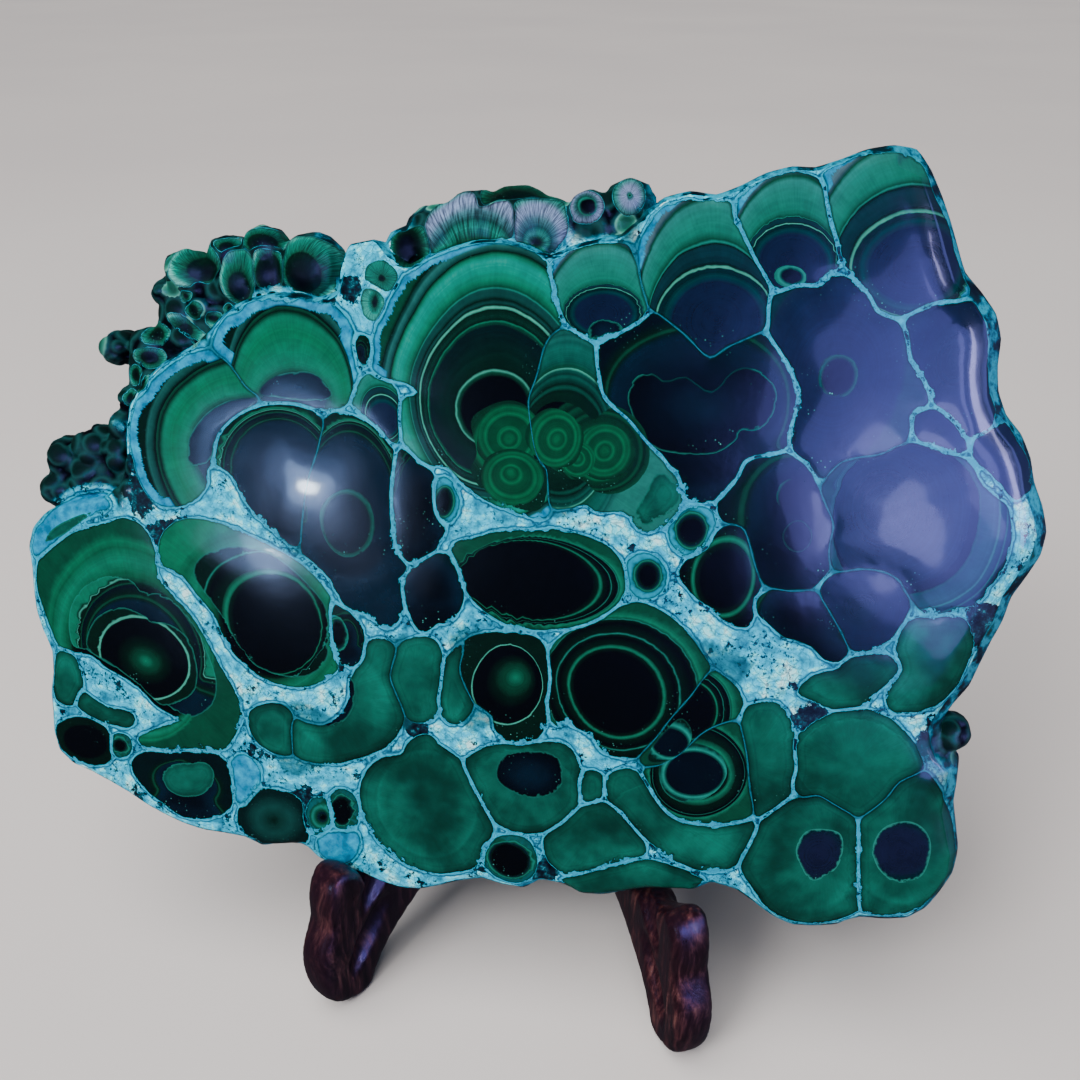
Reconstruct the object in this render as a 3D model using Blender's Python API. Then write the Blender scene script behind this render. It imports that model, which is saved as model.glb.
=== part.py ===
"""A polished slab of malachite and chrysocolla, leaning on a carved wooden stand made of two boards.

Sizes are in millimetres and become metres when a mesh is made. +Z is up and the slab faces -Y.
The slab leans back in a notch cut in each board. The boards stand in a V that is open to the front,
and a wedge glued behind their tall ends holds them together.
"""

import math

import bpy
import bmesh
import numpy as np
from mathutils import Vector
from mathutils.geometry import delaunay_2d_cdt

MM = 0.001

# The slab: how it stands.
LEAN = math.radians(18.0)
THICKNESS = 14.0
EDGE_FRONT = 9.0      # depth of its lower front edge behind the feet of the boards
EDGE_HEIGHT = 29.0    # height of that edge
BULGE = 2.2           # how far the polished face is domed
FACE_CENTRE = (-4.0, 58.0)
FACE_REACH = (88.0, 68.0)
ROUND_SMALL = 1.6     # rounding of the natural edges
ROUND_LARGE = 6.2     # rounding of the polished right edge
ROUND_FROM = 42.0     # the rounding grows between these two distances across the face
ROUND_TO = 60.0
BACK_BEVEL = 0.9
OUTLINE_STEP = 3.9
FACE_STEP = 6.6
BACK_STEP = 24.0

# The slab's outline seen square on: across and up from the middle of its lower front edge.
RIGHT_EDGE = [
    (54, 123), (56.5, 120), (59, 115.5), (61, 111), (62.5, 107), (64, 104.5), (66, 103),
    (69, 99), (69.5, 95), (69.5, 90.5), (71, 87), (72.5, 84), (75.5, 81.5), (76.5, 77),
    (78.5, 73), (80, 68.5), (79.5, 64), (78, 61), (76, 57), (75.5, 53.5), (74, 49.5),
    (73, 46), (72, 42.5), (70.5, 40),
]
LOWER_RIGHT = [
    (68.5, 37.5), (69, 33.5), (72, 31), (72.5, 26.5), (72.5, 22), (73.5, 17), (74, 12.5),
    (72, 7.5), (69.5, 3), (66.5, 1),
]
BOTTOM_EDGE = [
    (62.5, 0.5), (59.5, 0.5), (55.5, -1.5), (50, -2), (46.5, -1.5), (42, 1.5), (39, 3.5),
    (35.5, 5), (32.5, 3), (27.5, 2.5), (22.5, 2), (17.5, 0), (12, -0.5), (9, 1), (6.5, 2),
    (4, -0.5), (1, -1), (-3, -0.5), (-6, 0), (-11, -2), (-16.5, -4), (-20.5, -4),
    (-24.5, -3), (-28.5, -1.5), (-31.5, -1.5), (-34.5, -0.5), (-37.5, 2), (-41.5, 1.5),
    (-46, 0.5), (-49.5, 2), (-55, 2), (-59.5, 2.5), (-66.5, 5), (-72, 8), (-79, 11),
    (-83.5, 12.5),
]
LEFT_EDGE = [
    (-85.5, 16.5), (-85.5, 22.5), (-85.5, 26.5), (-84.5, 32.5), (-86.5, 38), (-87.5, 42.5),
    (-87.5, 48), (-88, 52.5), (-87, 56), (-84.5, 59),
]
UPPER_LEFT_RIM = [
    (-79, 61.5), (-73, 62.5), (-70, 65), (-68.5, 71), (-68.5, 75), (-67.5, 79.5),
    (-64.5, 83), (-61.5, 86), (-57, 88.5), (-54, 90.5), (-51.5, 94), (-48.5, 96),
    (-44.5, 97.5), (-40, 98), (-35, 97.5), (-32, 98),
]
CLEFT = [(-31.5, 102), (-30.5, 105.5), (-28, 106.5), (-24.5, 106.5)]
TOP_RIM = [
    (-22.5, 103.5), (-20.5, 103), (-17, 105), (-13.5, 106.5), (-8, 107.5), (-2.5, 107),
    (1.5, 105.5), (3.5, 106.5), (7.5, 108), (11.5, 108.5), (13.5, 110), (16, 113),
    (18, 114.5), (21, 115.5), (24, 115.5), (26.5, 115), (28, 116), (31, 117.5),
    (33.5, 119), (36.5, 119.5), (38.5, 118.5), (40, 120), (42.5, 120.5), (45.5, 122),
    (49.5, 123), (52, 123.5),
]

# Grape-like lumps grown on the natural rim: across, up, radius, depth of the centre behind the face.
LUMPS = [
    # the upper left cluster
    (-58.8, 100, 4.8, 5.6), (-52.2, 103.6, 3.9, 6.6), (-50.4, 99.2, 4.2, 4.8),
    (-46, 104.8, 4.2, 6.6), (-45.4, 100.4, 3.9, 4.8), (-37.8, 102, 6.0, 6.0),
    (-55.6, 95.2, 3.5, 5.0), (-63, 97, 2.6, 6.6), (-60.4, 93.4, 3.2, 5.4), (-66, 87.8, 4.0, 5.8),
    (-72.2, 87.4, 3.4, 7.0), (-65, 83.5, 3.6, 5.6), (-60, 89, 3.6, 5.2), (-69.5, 78.8, 3.0, 5.8),
    # the dark pitted cluster on the left
    (-82.5, 68, 4.2, 6.2), (-77.2, 70.4, 4.3, 6.2), (-72, 69.6, 4.2, 5.6),
    (-84, 62.5, 3.6, 6.2), (-77.8, 64.4, 4.4, 5.2), (-71, 74.5, 3.2, 5.8),
    # the cleft and the smooth banded bump on top
    (-26, 101, 3.8, 5.0), (-22, 105.6, 3.9, 5.6), (-17.2, 107.2, 6.0, 6.6),
    (-11, 108.6, 7.0, 7.0), (-4.4, 109.2, 7.4, 7.2), (0.4, 108.6, 6.2, 7.0),
    # two small balls right of it, and one pale lump low on the right
    (6.8, 112.2, 3.9, 5.4), (12.8, 113.6, 4.4, 5.6), (9.6, 110, 3.2, 5.2),
    (70.2, 34.2, 3.4, 6.0),
]
LUMP_DEPTH = 5.6      # half their size from front to back

# The rough crust that the lumps grow on: it fills the rim from just behind the face.
CRUST_LEFT = [
    (-84.5, 59), (-85.5, 63), (-83.5, 67.5), (-78, 70.5), (-72.5, 71), (-71, 75), (-70.3, 79.5),
    (-69.5, 83), (-70.5, 87), (-66, 89), (-64, 93), (-63.2, 97.5), (-59, 101), (-53, 104.5),
    (-45.5, 105.5), (-38, 104), (-33.5, 101), (-30, 96), (-45, 90), (-58, 80), (-64, 68),
    (-74, 57),
]
CRUST_TOP = [
    (-24, 104), (-19.5, 107.5), (-13, 111), (-5, 112.5), (2, 111.6), (4.5, 110.5), (7, 113.5),
    (13.5, 115), (16, 112), (12, 103), (-5, 100), (-20, 98),
]
CRUST_FRONT = 2.6     # depth of its front behind the face
CRUST_BACK = 12.4
CRUST_STEP = 3.6

# The boards of the stand: u runs back along a board from its front foot, z is up.
HALF_ANGLE = math.radians(27.7)
FOOT_SPREAD = 58.4    # between the inner front corners of the feet
BOARD = 7.0
BOARD_STEP = 3.0
WAIST = 21.0
LEFT_RISE = 0.0
RIGHT_RISE = 0.4      # the right board's hook is cut this much taller
FRONT_OF_BOARD = [
    (7.2, 0), (4.5, 0), (1.8, 0.2), (-0.6, 1.4), (-2.6, 4.2), (-3.6, 8.2), (-3.8, 12.6),
    (-3.0, 16.6), (-1.4, 19.6), (-0.4, 21.8), (-0.5, 24.2), (-0.2, 26.8), (0.6, 29.4),
    (2.0, 31.6), (3.6, 32.5), (5.4, 31.8), (7.0, 29.8),
]
NOTCH = [(8.6, 28.4), (11, 26), (16, 24.6), (22, 22.8)]
REAR_OF_BOARD = [
    (30, 21.6), (38, 21.4), (43.5, 23.2), (46.4, 28), (47.4, 36), (47.6, 50), (47.2, 64),
    (47.0, 76), (47.6, 84), (49.6, 90), (51.6, 96), (53.4, 99.4), (56, 100.6), (58.8, 99.4),
    (60, 96), (60, 76), (60, 52), (60, 28), (60, 8), (59.6, 2), (58, 0), (53, 0), (48, 0),
]
ARCH = [
    (46.6, 3.6), (43.6, 8.6), (38.5, 12), (32, 13.4), (26.5, 13), (22, 11.6), (17.6, 9.6),
    (13.2, 7), (9.8, 3.6),
]
# Rounding of the board's edges: (distance through the board, how far the outline draws in).
BOARD_LAYERS = [(0.0, 1.4), (0.6, 0.5), (2.1, 0.0), (4.9, 0.0), (6.4, 0.5), (7.0, 1.4)]
# Scooped leaves in both faces: u, z, half length, half width, depth, slope in degrees, rises with the hook.
LEAVES = [
    (7.2, 13.2, 8.2, 2.9, 2.2, 52, False),
    (11.4, 25.4, 7.6, 3.0, 2.2, 48, True),
    (54.0, 60.0, 20.0, 2.6, 1.8, 90, False),
]
SCOOP_OUT = 0.23      # how far the middle of each scoop lies outside the face it is cut in

# The wedge behind the tall ends of the boards.
WEDGE_LOW = 40.0
WEDGE_HIGH = 88.0
WEDGE_BACK = 5.0
GAP = 0.3             # play between pieces that touch
SEAT_FROM = 8.0       # the notches are cut for this stretch of the slab's lower edge, on each side
SEAT_TO = 46.0
WELD = 0.005          # corners closer than this are joined
FLAT = math.radians(0.6)

MALACHITE = (0.010, 0.120, 0.085, 1.0)
ROSEWOOD = (0.030, 0.010, 0.009, 1.0)
WEDGE_WOOD = (0.024, 0.009, 0.008, 1.0)
SHARP = math.radians(40.0)


def clear_scene():
    for thing in list(bpy.data.objects):
        bpy.data.objects.remove(thing, do_unlink=True)


def material(name, colour, roughness):
    made = bpy.data.materials.new(name)
    made.use_nodes = True
    shader = made.node_tree.nodes["Principled BSDF"]
    shader.inputs["Base Color"].default_value = colour
    shader.inputs["Roughness"].default_value = roughness
    made.diffuse_color = colour
    return made


def smooth_loop(points, step):
    """A closed curve through the points, as points about one step apart."""
    points = np.array(points, float)
    before = np.roll(points, 1, axis=0)
    after = np.roll(points, -1, axis=0)
    beyond = np.roll(points, -2, axis=0)
    dense = []
    for a, b, c, d in zip(before, points, after, beyond):
        for share in np.linspace(0.0, 1.0, 12, endpoint=False):
            bend = 0.5 * ((2 * b) + (c - a) * share
                          + (2 * a - 5 * b + 4 * c - d) * share ** 2
                          + (3 * b - a - 3 * c + d) * share ** 3)
            dense.append(bend)
    dense = np.array(dense)
    ends = np.vstack([dense, dense[:1]])
    along = np.concatenate([[0.0], np.cumsum(np.linalg.norm(np.diff(ends, axis=0), axis=1))])
    count = int(round(along[-1] / step))
    places = np.linspace(0.0, along[-1], count, endpoint=False)
    return np.column_stack([np.interp(places, along, ends[:, k]) for k in (0, 1)])


def inward(loop):
    """Unit normals that point into a closed loop, whichever way it turns."""
    way = np.roll(loop, -1, axis=0) - np.roll(loop, 1, axis=0)
    way /= np.linalg.norm(way, axis=1)[:, None]
    turned = np.column_stack([-way[:, 1], way[:, 0]])
    x, y = loop[:, 0], loop[:, 1]
    area = 0.5 * np.sum(x * np.roll(y, -1) - np.roll(x, -1) * y)
    return turned if area > 0 else -turned


def distance_to(points, loop):
    """Distance of each point from a closed loop of straight pieces."""
    best = np.full(len(points), 1e9)
    for a, b in zip(loop, np.roll(loop, -1, axis=0)):
        side = b - a
        share = np.clip(((points - a) @ side) / (side @ side), 0.0, 1.0)
        gap = np.linalg.norm(points - a - share[:, None] * side, axis=1)
        best = np.minimum(best, gap)
    return best


def inside(points, loop):
    """Which points lie inside the loop."""
    x, y = points[:, 0], points[:, 1]
    found = np.zeros(len(points), bool)
    for (ax, ay), (bx, by) in zip(loop, np.roll(loop, -1, axis=0)):
        if ay == by:
            continue
        crosses = (ay > y) != (by > y)
        found ^= crosses & (x < (bx - ax) * (y - ay) / (by - ay) + ax)
    return found


def edge_round(points):
    """How far the face is rounded over at its edge: more towards the polished right side."""
    share = np.clip((points[:, 0] - ROUND_FROM) / (ROUND_TO - ROUND_FROM), 0.0, 1.0)
    low = np.clip((points[:, 1] - 2.0) / 20.0, 0.35, 1.0)
    return ROUND_SMALL + (ROUND_LARGE - ROUND_SMALL) * share * share * (3 - 2 * share) * low


def face_height(points, from_edge):
    """Height of the polished face in front of the flat plane through its edge."""
    across = (points[:, 0] - FACE_CENTRE[0]) / FACE_REACH[0]
    up = (points[:, 1] - FACE_CENTRE[1]) / FACE_REACH[1]
    dome = BULGE * (1.0 - across ** 2 - up ** 2)
    radius = edge_round(points)
    left = np.clip(radius - from_edge, 0.0, None)
    return dome - (radius - np.sqrt(np.clip(radius ** 2 - left ** 2, 0.0, None)))


def triangulated(loop, extra):
    """Triangles that fill a loop through extra points inside it: (points, triangles)."""
    points = np.vstack([loop, extra]) if len(extra) else loop
    rim = [(k, (k + 1) % len(loop)) for k in range(len(loop))]
    made = delaunay_2d_cdt([Vector(p) for p in points], rim, [], 1, 1e-7)
    found = np.array([tuple(p) for p in made[0]])
    if len(found) != len(points):
        raise ValueError("points of the outline fell together")
    return found, [tuple(face) for face in made[2]]


def lattice(loop, step, keep_off):
    """Points of a triangular grid inside the loop, kept clear of its edge."""
    low, high = loop.min(axis=0), loop.max(axis=0)
    rows = []
    for row, up in enumerate(np.arange(low[1], high[1], step * 0.866)):
        shift = 0.5 * step * (row % 2)
        across = np.arange(low[0] + shift, high[0], step)
        rows.append(np.column_stack([across, np.full(len(across), up)]))
    grid = np.vstack(rows)
    grid = grid[inside(grid, loop)]
    return grid[distance_to(grid, loop) > keep_off(grid)]


def on_slab(points, height):
    """Places on the leaning slab: across and up its face, and in front of its plane."""
    upward = np.array([0.0, math.sin(LEAN), math.cos(LEAN)])
    outward = np.array([0.0, -math.cos(LEAN), math.sin(LEAN)])
    start = np.array([0.0, EDGE_FRONT, EDGE_HEIGHT])
    sideways = np.outer(points[:, 0], [1.0, 0.0, 0.0])
    return start + sideways + np.outer(points[:, 1], upward) + np.outer(height, outward)


def object_from(name, points, faces):
    mesh = bpy.data.meshes.new(name)
    mesh.from_pydata([tuple(p) for p in np.asarray(points) * MM], [], faces)
    mesh.update()
    made = bpy.data.objects.new(name, mesh)
    bpy.context.scene.collection.objects.link(made)
    turn_outward(made)
    return made


def turn_outward(thing):
    work = bmesh.new()
    work.from_mesh(thing.data)
    bmesh.ops.recalc_face_normals(work, faces=work.faces)
    bmesh.ops.triangulate(work, faces=work.faces)
    work.to_mesh(thing.data)
    work.free()


def outline():
    return RIGHT_EDGE + LOWER_RIGHT + BOTTOM_EDGE + LEFT_EDGE + UPPER_LEFT_RIM + CLEFT + TOP_RIM


def slab_body():
    loop = smooth_loop(outline(), OUTLINE_STEP)
    normal = inward(loop)
    radius = edge_round(loop)
    rings = []
    for share in (0.134, 0.5, 1.0):
        ring = loop + normal * (radius * share)[:, None]
        clear = distance_to(ring, loop) > radius * share * 0.93
        rings.append(ring[clear & inside(ring, loop)])
    grid = lattice(loop, FACE_STEP, lambda p: edge_round(p) + 0.45 * FACE_STEP)
    front, front_faces = triangulated(loop, np.vstack(rings + [grid]))
    front_height = face_height(front, distance_to(front, loop))
    front_height[:len(loop)] = face_height(loop, np.zeros(len(loop)))

    back_loop = loop + normal * BACK_BEVEL
    back_grid = lattice(back_loop, BACK_STEP, lambda p: np.full(len(p), 0.4 * BACK_STEP))
    back, back_faces = triangulated(back_loop, back_grid)

    count = len(loop)
    side = on_slab(loop, np.full(count, -THICKNESS + BACK_BEVEL))
    points = np.vstack([
        on_slab(front, front_height),
        side,
        on_slab(back, np.full(len(back), -THICKNESS)),
    ])
    side_at = len(front)
    back_at = side_at + count
    faces = [tuple(face) for face in front_faces]
    faces += [tuple(back_at + k for k in reversed(face)) for face in back_faces]
    for k in range(count):
        after = (k + 1) % count
        faces.append((k, after, side_at + after, side_at + k))
        faces.append((side_at + k, side_at + after, back_at + after, back_at + k))
    return object_from("slab", points, faces)


def ellipsoid(name, centre, axes, around, rings):
    """A closed ball stretched along three axes given as vectors."""
    points = [centre + axes[2]]
    for row in range(1, rings):
        fall = math.pi * row / rings
        for column in range(around):
            turn = 2 * math.pi * (column + 0.5 * (row % 2)) / around
            flat = axes[0] * math.cos(turn) + axes[1] * math.sin(turn)
            points.append(centre + axes[2] * math.cos(fall) + flat * math.sin(fall))
    points.append(centre - axes[2])
    last = len(points) - 1
    faces = []
    for column in range(around):
        beside = (column + 1) % around
        faces.append((0, 1 + column, 1 + beside))
        for row in range(rings - 2):
            a = 1 + row * around
            b = a + around
            if row % 2 == 0:
                faces.append((a + column, b + column, a + beside))
                faces.append((b + column, b + beside, a + beside))
            else:
                faces.append((a + column, b + column, b + beside))
                faces.append((a + column, b + beside, a + beside))
        end = 1 + (rings - 2) * around
        faces.append((end + column, last, end + beside))
    return object_from(name, np.array(points), faces)


def combine(thing, other, operation):
    """A Boolean with exact arithmetic, applied at once."""
    change = thing.modifiers.new("combine", "BOOLEAN")
    change.operation = operation
    change.solver = "EXACT"
    change.object = other
    graph = bpy.context.evaluated_depsgraph_get()
    mesh = bpy.data.meshes.new_from_object(thing.evaluated_get(graph))
    thing.modifiers.clear()
    old = thing.data
    thing.data = mesh
    bpy.data.meshes.remove(old)
    bpy.data.objects.remove(other, do_unlink=True)


def drop_hollows(work):
    """Removes every small closed shell: a hollow that lumps have shut in between them."""
    left = set(work.verts)
    shells = []
    while left:
        shell = {left.pop()}
        edge = list(shell)
        while edge:
            vertex = edge.pop()
            for other in (e.other_vert(vertex) for e in vertex.link_edges):
                if other in left:
                    left.discard(other)
                    shell.add(other)
                    edge.append(other)
        shells.append(shell)
    shells.sort(key=len)
    for shell in shells[:-1]:
        bmesh.ops.delete(work, geom=list(shell), context="VERTS")


def tidy(thing):
    """Joins the corners that the Booleans leave almost on top of each other, and flat facets."""
    work = bmesh.new()
    work.from_mesh(thing.data)
    bmesh.ops.remove_doubles(work, verts=work.verts, dist=WELD * MM)
    bmesh.ops.dissolve_degenerate(work, edges=work.edges, dist=WELD * MM)
    bmesh.ops.dissolve_limit(work, angle_limit=FLAT, verts=work.verts, edges=work.edges)
    bmesh.ops.triangulate(work, faces=work.faces)
    bmesh.ops.dissolve_degenerate(work, edges=work.edges, dist=WELD * MM)
    bmesh.ops.triangulate(work, faces=work.faces)
    drop_hollows(work)
    work.to_mesh(thing.data)
    work.free()


def crust(corners):
    """A plate with rounded-off edges, a little behind the polished face."""
    loop = smooth_loop(corners, CRUST_STEP)
    normal = inward(loop)
    cap = triangulated(loop, np.zeros((0, 2)))[1]
    count = len(loop)
    points = []
    for depth, draw in ((CRUST_FRONT, 1.4), (CRUST_FRONT + 1.6, 0.0),
                        (CRUST_BACK - 1.6, 0.0), (CRUST_BACK, 1.4)):
        points.append(on_slab(loop + normal * draw, np.full(count, -depth)))
    faces = [tuple(face) for face in cap]
    faces += [tuple(3 * count + k for k in reversed(face)) for face in cap]
    for layer in range(3):
        a, b = layer * count, (layer + 1) * count
        for k in range(count):
            after = (k + 1) % count
            faces.append((a + k, a + after, b + after, b + k))
    return object_from("crust", np.vstack(points), faces)


def make_slab():
    slab = slab_body()
    combine(slab, crust(CRUST_LEFT), "UNION")
    combine(slab, crust(CRUST_TOP), "UNION")
    upward = np.array([0.0, math.sin(LEAN), math.cos(LEAN)])
    outward = np.array([0.0, -math.cos(LEAN), math.sin(LEAN)])
    for across, up, radius, depth in LUMPS:
        centre = on_slab(np.array([[across, up]]), np.array([-depth]))[0]
        deep = max(radius, min(LUMP_DEPTH, depth - 0.8))
        axes = (np.array([radius, 0, 0]), upward * radius, outward * deep)
        around = 11 if radius > 5.0 else 8
        lump = ellipsoid("lump", centre, axes, around, 7 if radius > 5.0 else 5)
        combine(slab, lump, "UNION")
    tidy(slab)
    return slab


def board_profile(rise):
    """The outline of a board. What is above the waist of its hook is raised by `rise`."""
    shape = []
    for u, z in FRONT_OF_BOARD:
        lift = rise * min(max((z - WAIST) / 8.0, 0.0), 1.0)
        shape.append((u, z + lift))
    for u, z in NOTCH:
        shape.append((u, z + rise * (1.0 - (u - 8.0) / 22.0)))
    shape += REAR_OF_BOARD
    shape += ARCH
    return shape


def on_board(side, u, z, through):
    """A place on a board. `through` runs from its inner face to its outer face."""
    x = -FOOT_SPREAD / 2 + u * math.sin(HALF_ANGLE) - through * math.cos(HALF_ANGLE)
    y = u * math.cos(HALF_ANGLE) + through * math.sin(HALF_ANGLE)
    return np.array([-side * x, y, z])


def board(name, side, rise):
    """One board: side is -1 on the left and 1 on the right."""
    loop = smooth_loop(board_profile(rise), BOARD_STEP)
    loop[:, 1] = np.maximum(loop[:, 1], 0.0)
    normal = inward(loop)
    cap = triangulated(loop, np.zeros((0, 2)))[1]
    count = len(loop)
    points = []
    for through, draw in BOARD_LAYERS:
        ring = loop + normal * draw
        ring[:, 1] = np.where(loop[:, 1] < 0.05, 0.0, ring[:, 1])
        points += [on_board(side, u, z, through) for u, z in ring]
    last = (len(BOARD_LAYERS) - 1) * count
    faces = [tuple(face) for face in cap]
    faces += [tuple(last + k for k in reversed(face)) for face in cap]
    for layer in range(len(BOARD_LAYERS) - 1):
        a, b = layer * count, (layer + 1) * count
        for k in range(count):
            after = (k + 1) % count
            faces.append((a + k, a + after, b + after, b + k))
    made = object_from(name, np.array(points), faces)
    for u, z, length, width, depth, slope, rises in LEAVES:
        for through in (-SCOOP_OUT, BOARD + SCOOP_OUT):
            scoop = leaf(side, u, z + (rise if rises else 0.0), through, length, width, depth, slope)
            combine(made, scoop, "DIFFERENCE")
    combine(made, seat(side), "DIFFERENCE")
    tidy(made)
    return made


def leaf(side, u, z, through, length, width, depth, slope):
    """A long ball that scoops a leaf out of a face of the board."""
    middle = on_board(side, u, z, through)
    ahead = on_board(side, u + 1, z, through) - middle
    upward = np.array([0.0, 0.0, 1.0])
    turn = math.radians(slope)
    along = ahead * math.cos(turn) + upward * math.sin(turn)
    cross = -ahead * math.sin(turn) + upward * math.cos(turn)
    into = on_board(side, u, z, through + 1) - middle
    return ellipsoid("scoop", middle, (cross * width, into * depth, along * length), 12, 8)


def seat(side):
    """The room that the slab's lower edge takes up in a board, with play round it."""
    loop = smooth_loop(outline(), OUTLINE_STEP)
    low = loop[(side * loop[:, 0] > SEAT_FROM) & (side * loop[:, 0] < SEAT_TO) & (loop[:, 1] < 10)]
    low = low[np.argsort(low[:, 0])] - [0.0, 1.1 * GAP]
    plan = np.vstack([low, [(low[-1, 0], 60.0), (low[0, 0], 60.0)]])
    count = len(plan)
    front = on_slab(plan, np.full(count, 0.3 * BULGE + GAP))
    back = on_slab(plan, np.full(count, -THICKNESS - GAP))
    cap = triangulated(plan, np.zeros((0, 2)))[1]
    faces = [tuple(face) for face in cap] + [tuple(count + k for k in reversed(face)) for face in cap]
    for k in range(count):
        after = (k + 1) % count
        faces.append((k, after, count + after, count + k))
    return object_from("seat", np.vstack([front, back]), faces)


def wedge():
    """The glued wedge that fills the back of the V."""
    length = 60.0 + GAP
    inner = on_board(-1, length, 0, GAP)
    outer = on_board(-1, length, 0, BOARD - 1.0)
    plan = [
        (inner[0], inner[1]), (-inner[0], inner[1]), (-outer[0], outer[1]),
        (-outer[0] + 1.5, outer[1] + WEDGE_BACK), (outer[0] - 1.5, outer[1] + WEDGE_BACK),
        (outer[0], outer[1]),
    ]
    points = [(x, y, WEDGE_LOW) for x, y in plan] + [(x, y, WEDGE_HIGH) for x, y in plan]
    count = len(plan)
    faces = [tuple(range(count)), tuple(range(2 * count - 1, count - 1, -1))]
    for k in range(count):
        after = (k + 1) % count
        faces.append((k, after, count + after, count + k))
    return object_from("rear_wedge", np.array(points), faces)


def place_on_origin(things):
    """Hangs the pieces on one empty, with the whole on z = 0 and its box centred on the Z axis."""
    places = np.vstack([[v.co for v in thing.data.vertices] for thing in things])
    low, high = places.min(axis=0), places.max(axis=0)
    whole = bpy.data.objects.new("specimen_on_stand", None)
    bpy.context.scene.collection.objects.link(whole)
    whole.location = (-(low[0] + high[0]) / 2, -(low[1] + high[1]) / 2, -low[2])
    for thing in things:
        thing.parent = whole


def finish(thing, look):
    """Gives a piece its material and shades it smooth, with its real edges kept sharp."""
    thing.data.materials.clear()
    thing.data.materials.append(look)
    thing.data.shade_smooth()
    thing.data.set_sharp_from_angle(angle=SHARP)
    return thing


def main():
    clear_scene()
    pieces = [
        finish(make_slab(), material("polished_malachite", MALACHITE, 0.15)),
        finish(board("left_board", -1, LEFT_RISE), material("left_rosewood", ROSEWOOD, 0.35)),
        finish(board("right_board", 1, RIGHT_RISE), material("right_rosewood", ROSEWOOD, 0.35)),
        finish(wedge(), material("wedge_rosewood", WEDGE_WOOD, 0.5)),
    ]
    place_on_origin(pieces)


main()
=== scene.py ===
"""A polished slab of malachite with chrysocolla veins, resting on a carved rosewood stand."""
import math

import bpy
import bmesh
import numpy as np
from mathutils import Matrix, Vector, noise


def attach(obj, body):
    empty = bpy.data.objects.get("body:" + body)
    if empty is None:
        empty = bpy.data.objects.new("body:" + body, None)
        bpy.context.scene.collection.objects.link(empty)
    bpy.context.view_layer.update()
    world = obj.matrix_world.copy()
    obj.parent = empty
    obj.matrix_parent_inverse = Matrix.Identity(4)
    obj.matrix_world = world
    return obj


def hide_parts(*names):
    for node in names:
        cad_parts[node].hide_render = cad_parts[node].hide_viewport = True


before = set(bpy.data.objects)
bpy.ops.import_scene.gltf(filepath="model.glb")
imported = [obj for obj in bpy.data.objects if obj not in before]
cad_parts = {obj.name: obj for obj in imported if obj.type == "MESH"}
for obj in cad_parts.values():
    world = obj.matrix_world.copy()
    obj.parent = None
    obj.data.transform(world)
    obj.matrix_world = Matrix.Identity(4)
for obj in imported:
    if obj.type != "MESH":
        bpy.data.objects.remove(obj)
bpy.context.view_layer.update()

MM = 0.001
LEAN = math.radians(18.0)                       # the slab leans back this far
SEAT = np.array([3.9987, -20.2615, 29.0])       # middle of its lower front edge, in millimetres
ACROSS = np.array([1.0, 0.0, 0.0])
UPWARD = np.array([0.0, math.sin(LEAN), math.cos(LEAN)])
OUTWARD = np.array([0.0, -math.cos(LEAN), math.sin(LEAN)])
VEIN = 0.20                                     # half the width of the thinnest vein,
SEAM = 0.055                                    # and of a mere seam
GROW = 0.95                                     # how far nodules spread until they meet,
LEAST_GROW = 0.1                                # and how far on the sides and in the rough rim
CELL_REACH = 7.0                                # how far round a nodule its values are kept,
INNER_REACH = 2.0                               # round one inside it,
EYE_REACH = 1.5                                 # and round one inside that
CUSHION = 0.26                                  # how far each polished nodule stands proud
CUSHION_REACH = 12.0                            # from its edge to where it is level
EVENING_ROUNDS = 16                             # how often the cushions are smoothed
BUBBLE = 3.4                                    # size of the bubbles of the rough rim
BUBBLE_RISE = 1.0
WAVER = 0.5                                     # how far the outlines waver,
DRIFT = 0.10                                    # and drift for each millimetre of depth
REFINEMENTS = 4
FACE_GRAIN = 0.72                               # longest edge of the fine mesh: on the face,
SIDE_GRAIN = 1.3                                # on the sides,
BACK_GRAIN = 2.6                                # on the back,
ROUGH_GRAIN = 0.75                              # and on the grape-like rim
BOARD_GRAIN = 1.2                               # and on the boards
LOOP_PARTS = 5                                  # chords in each stretch of an outline
SAME_LAYER_GAP = 2.6                            # nodules closer than this go in different layers
FAR = -40.0                                     # further outside than any nodule reaches

# Linear colours.
BLACK = (0.0, 0.0006, 0.0016)
NAVY_DEEP = (0.0001, 0.0025, 0.007)
NAVY_BLUE = (0.0008, 0.0085, 0.020)
DARK_GREEN = (0.0, 0.0085, 0.0048)
DEEP_GREEN = (0.0, 0.042, 0.022)
GREEN = (0.0, 0.130, 0.074)
GREY_GREEN = (0.003, 0.150, 0.115)
SLATE = (0.002, 0.040, 0.036)
LINE_GREEN = (0.035, 0.270, 0.200)
AQUA = (0.0, 0.265, 0.420)
PALE_AQUA = (0.005, 0.480, 0.630)
SLATE_BLUE = (0.006, 0.018, 0.052)
# Pale lavender grey: partly the pale fibres of the bumps, partly a painted highlight.
PALE_FIBRE_AND_PAINTED_HIGHLIGHT = (0.130, 0.190, 0.330)

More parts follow.
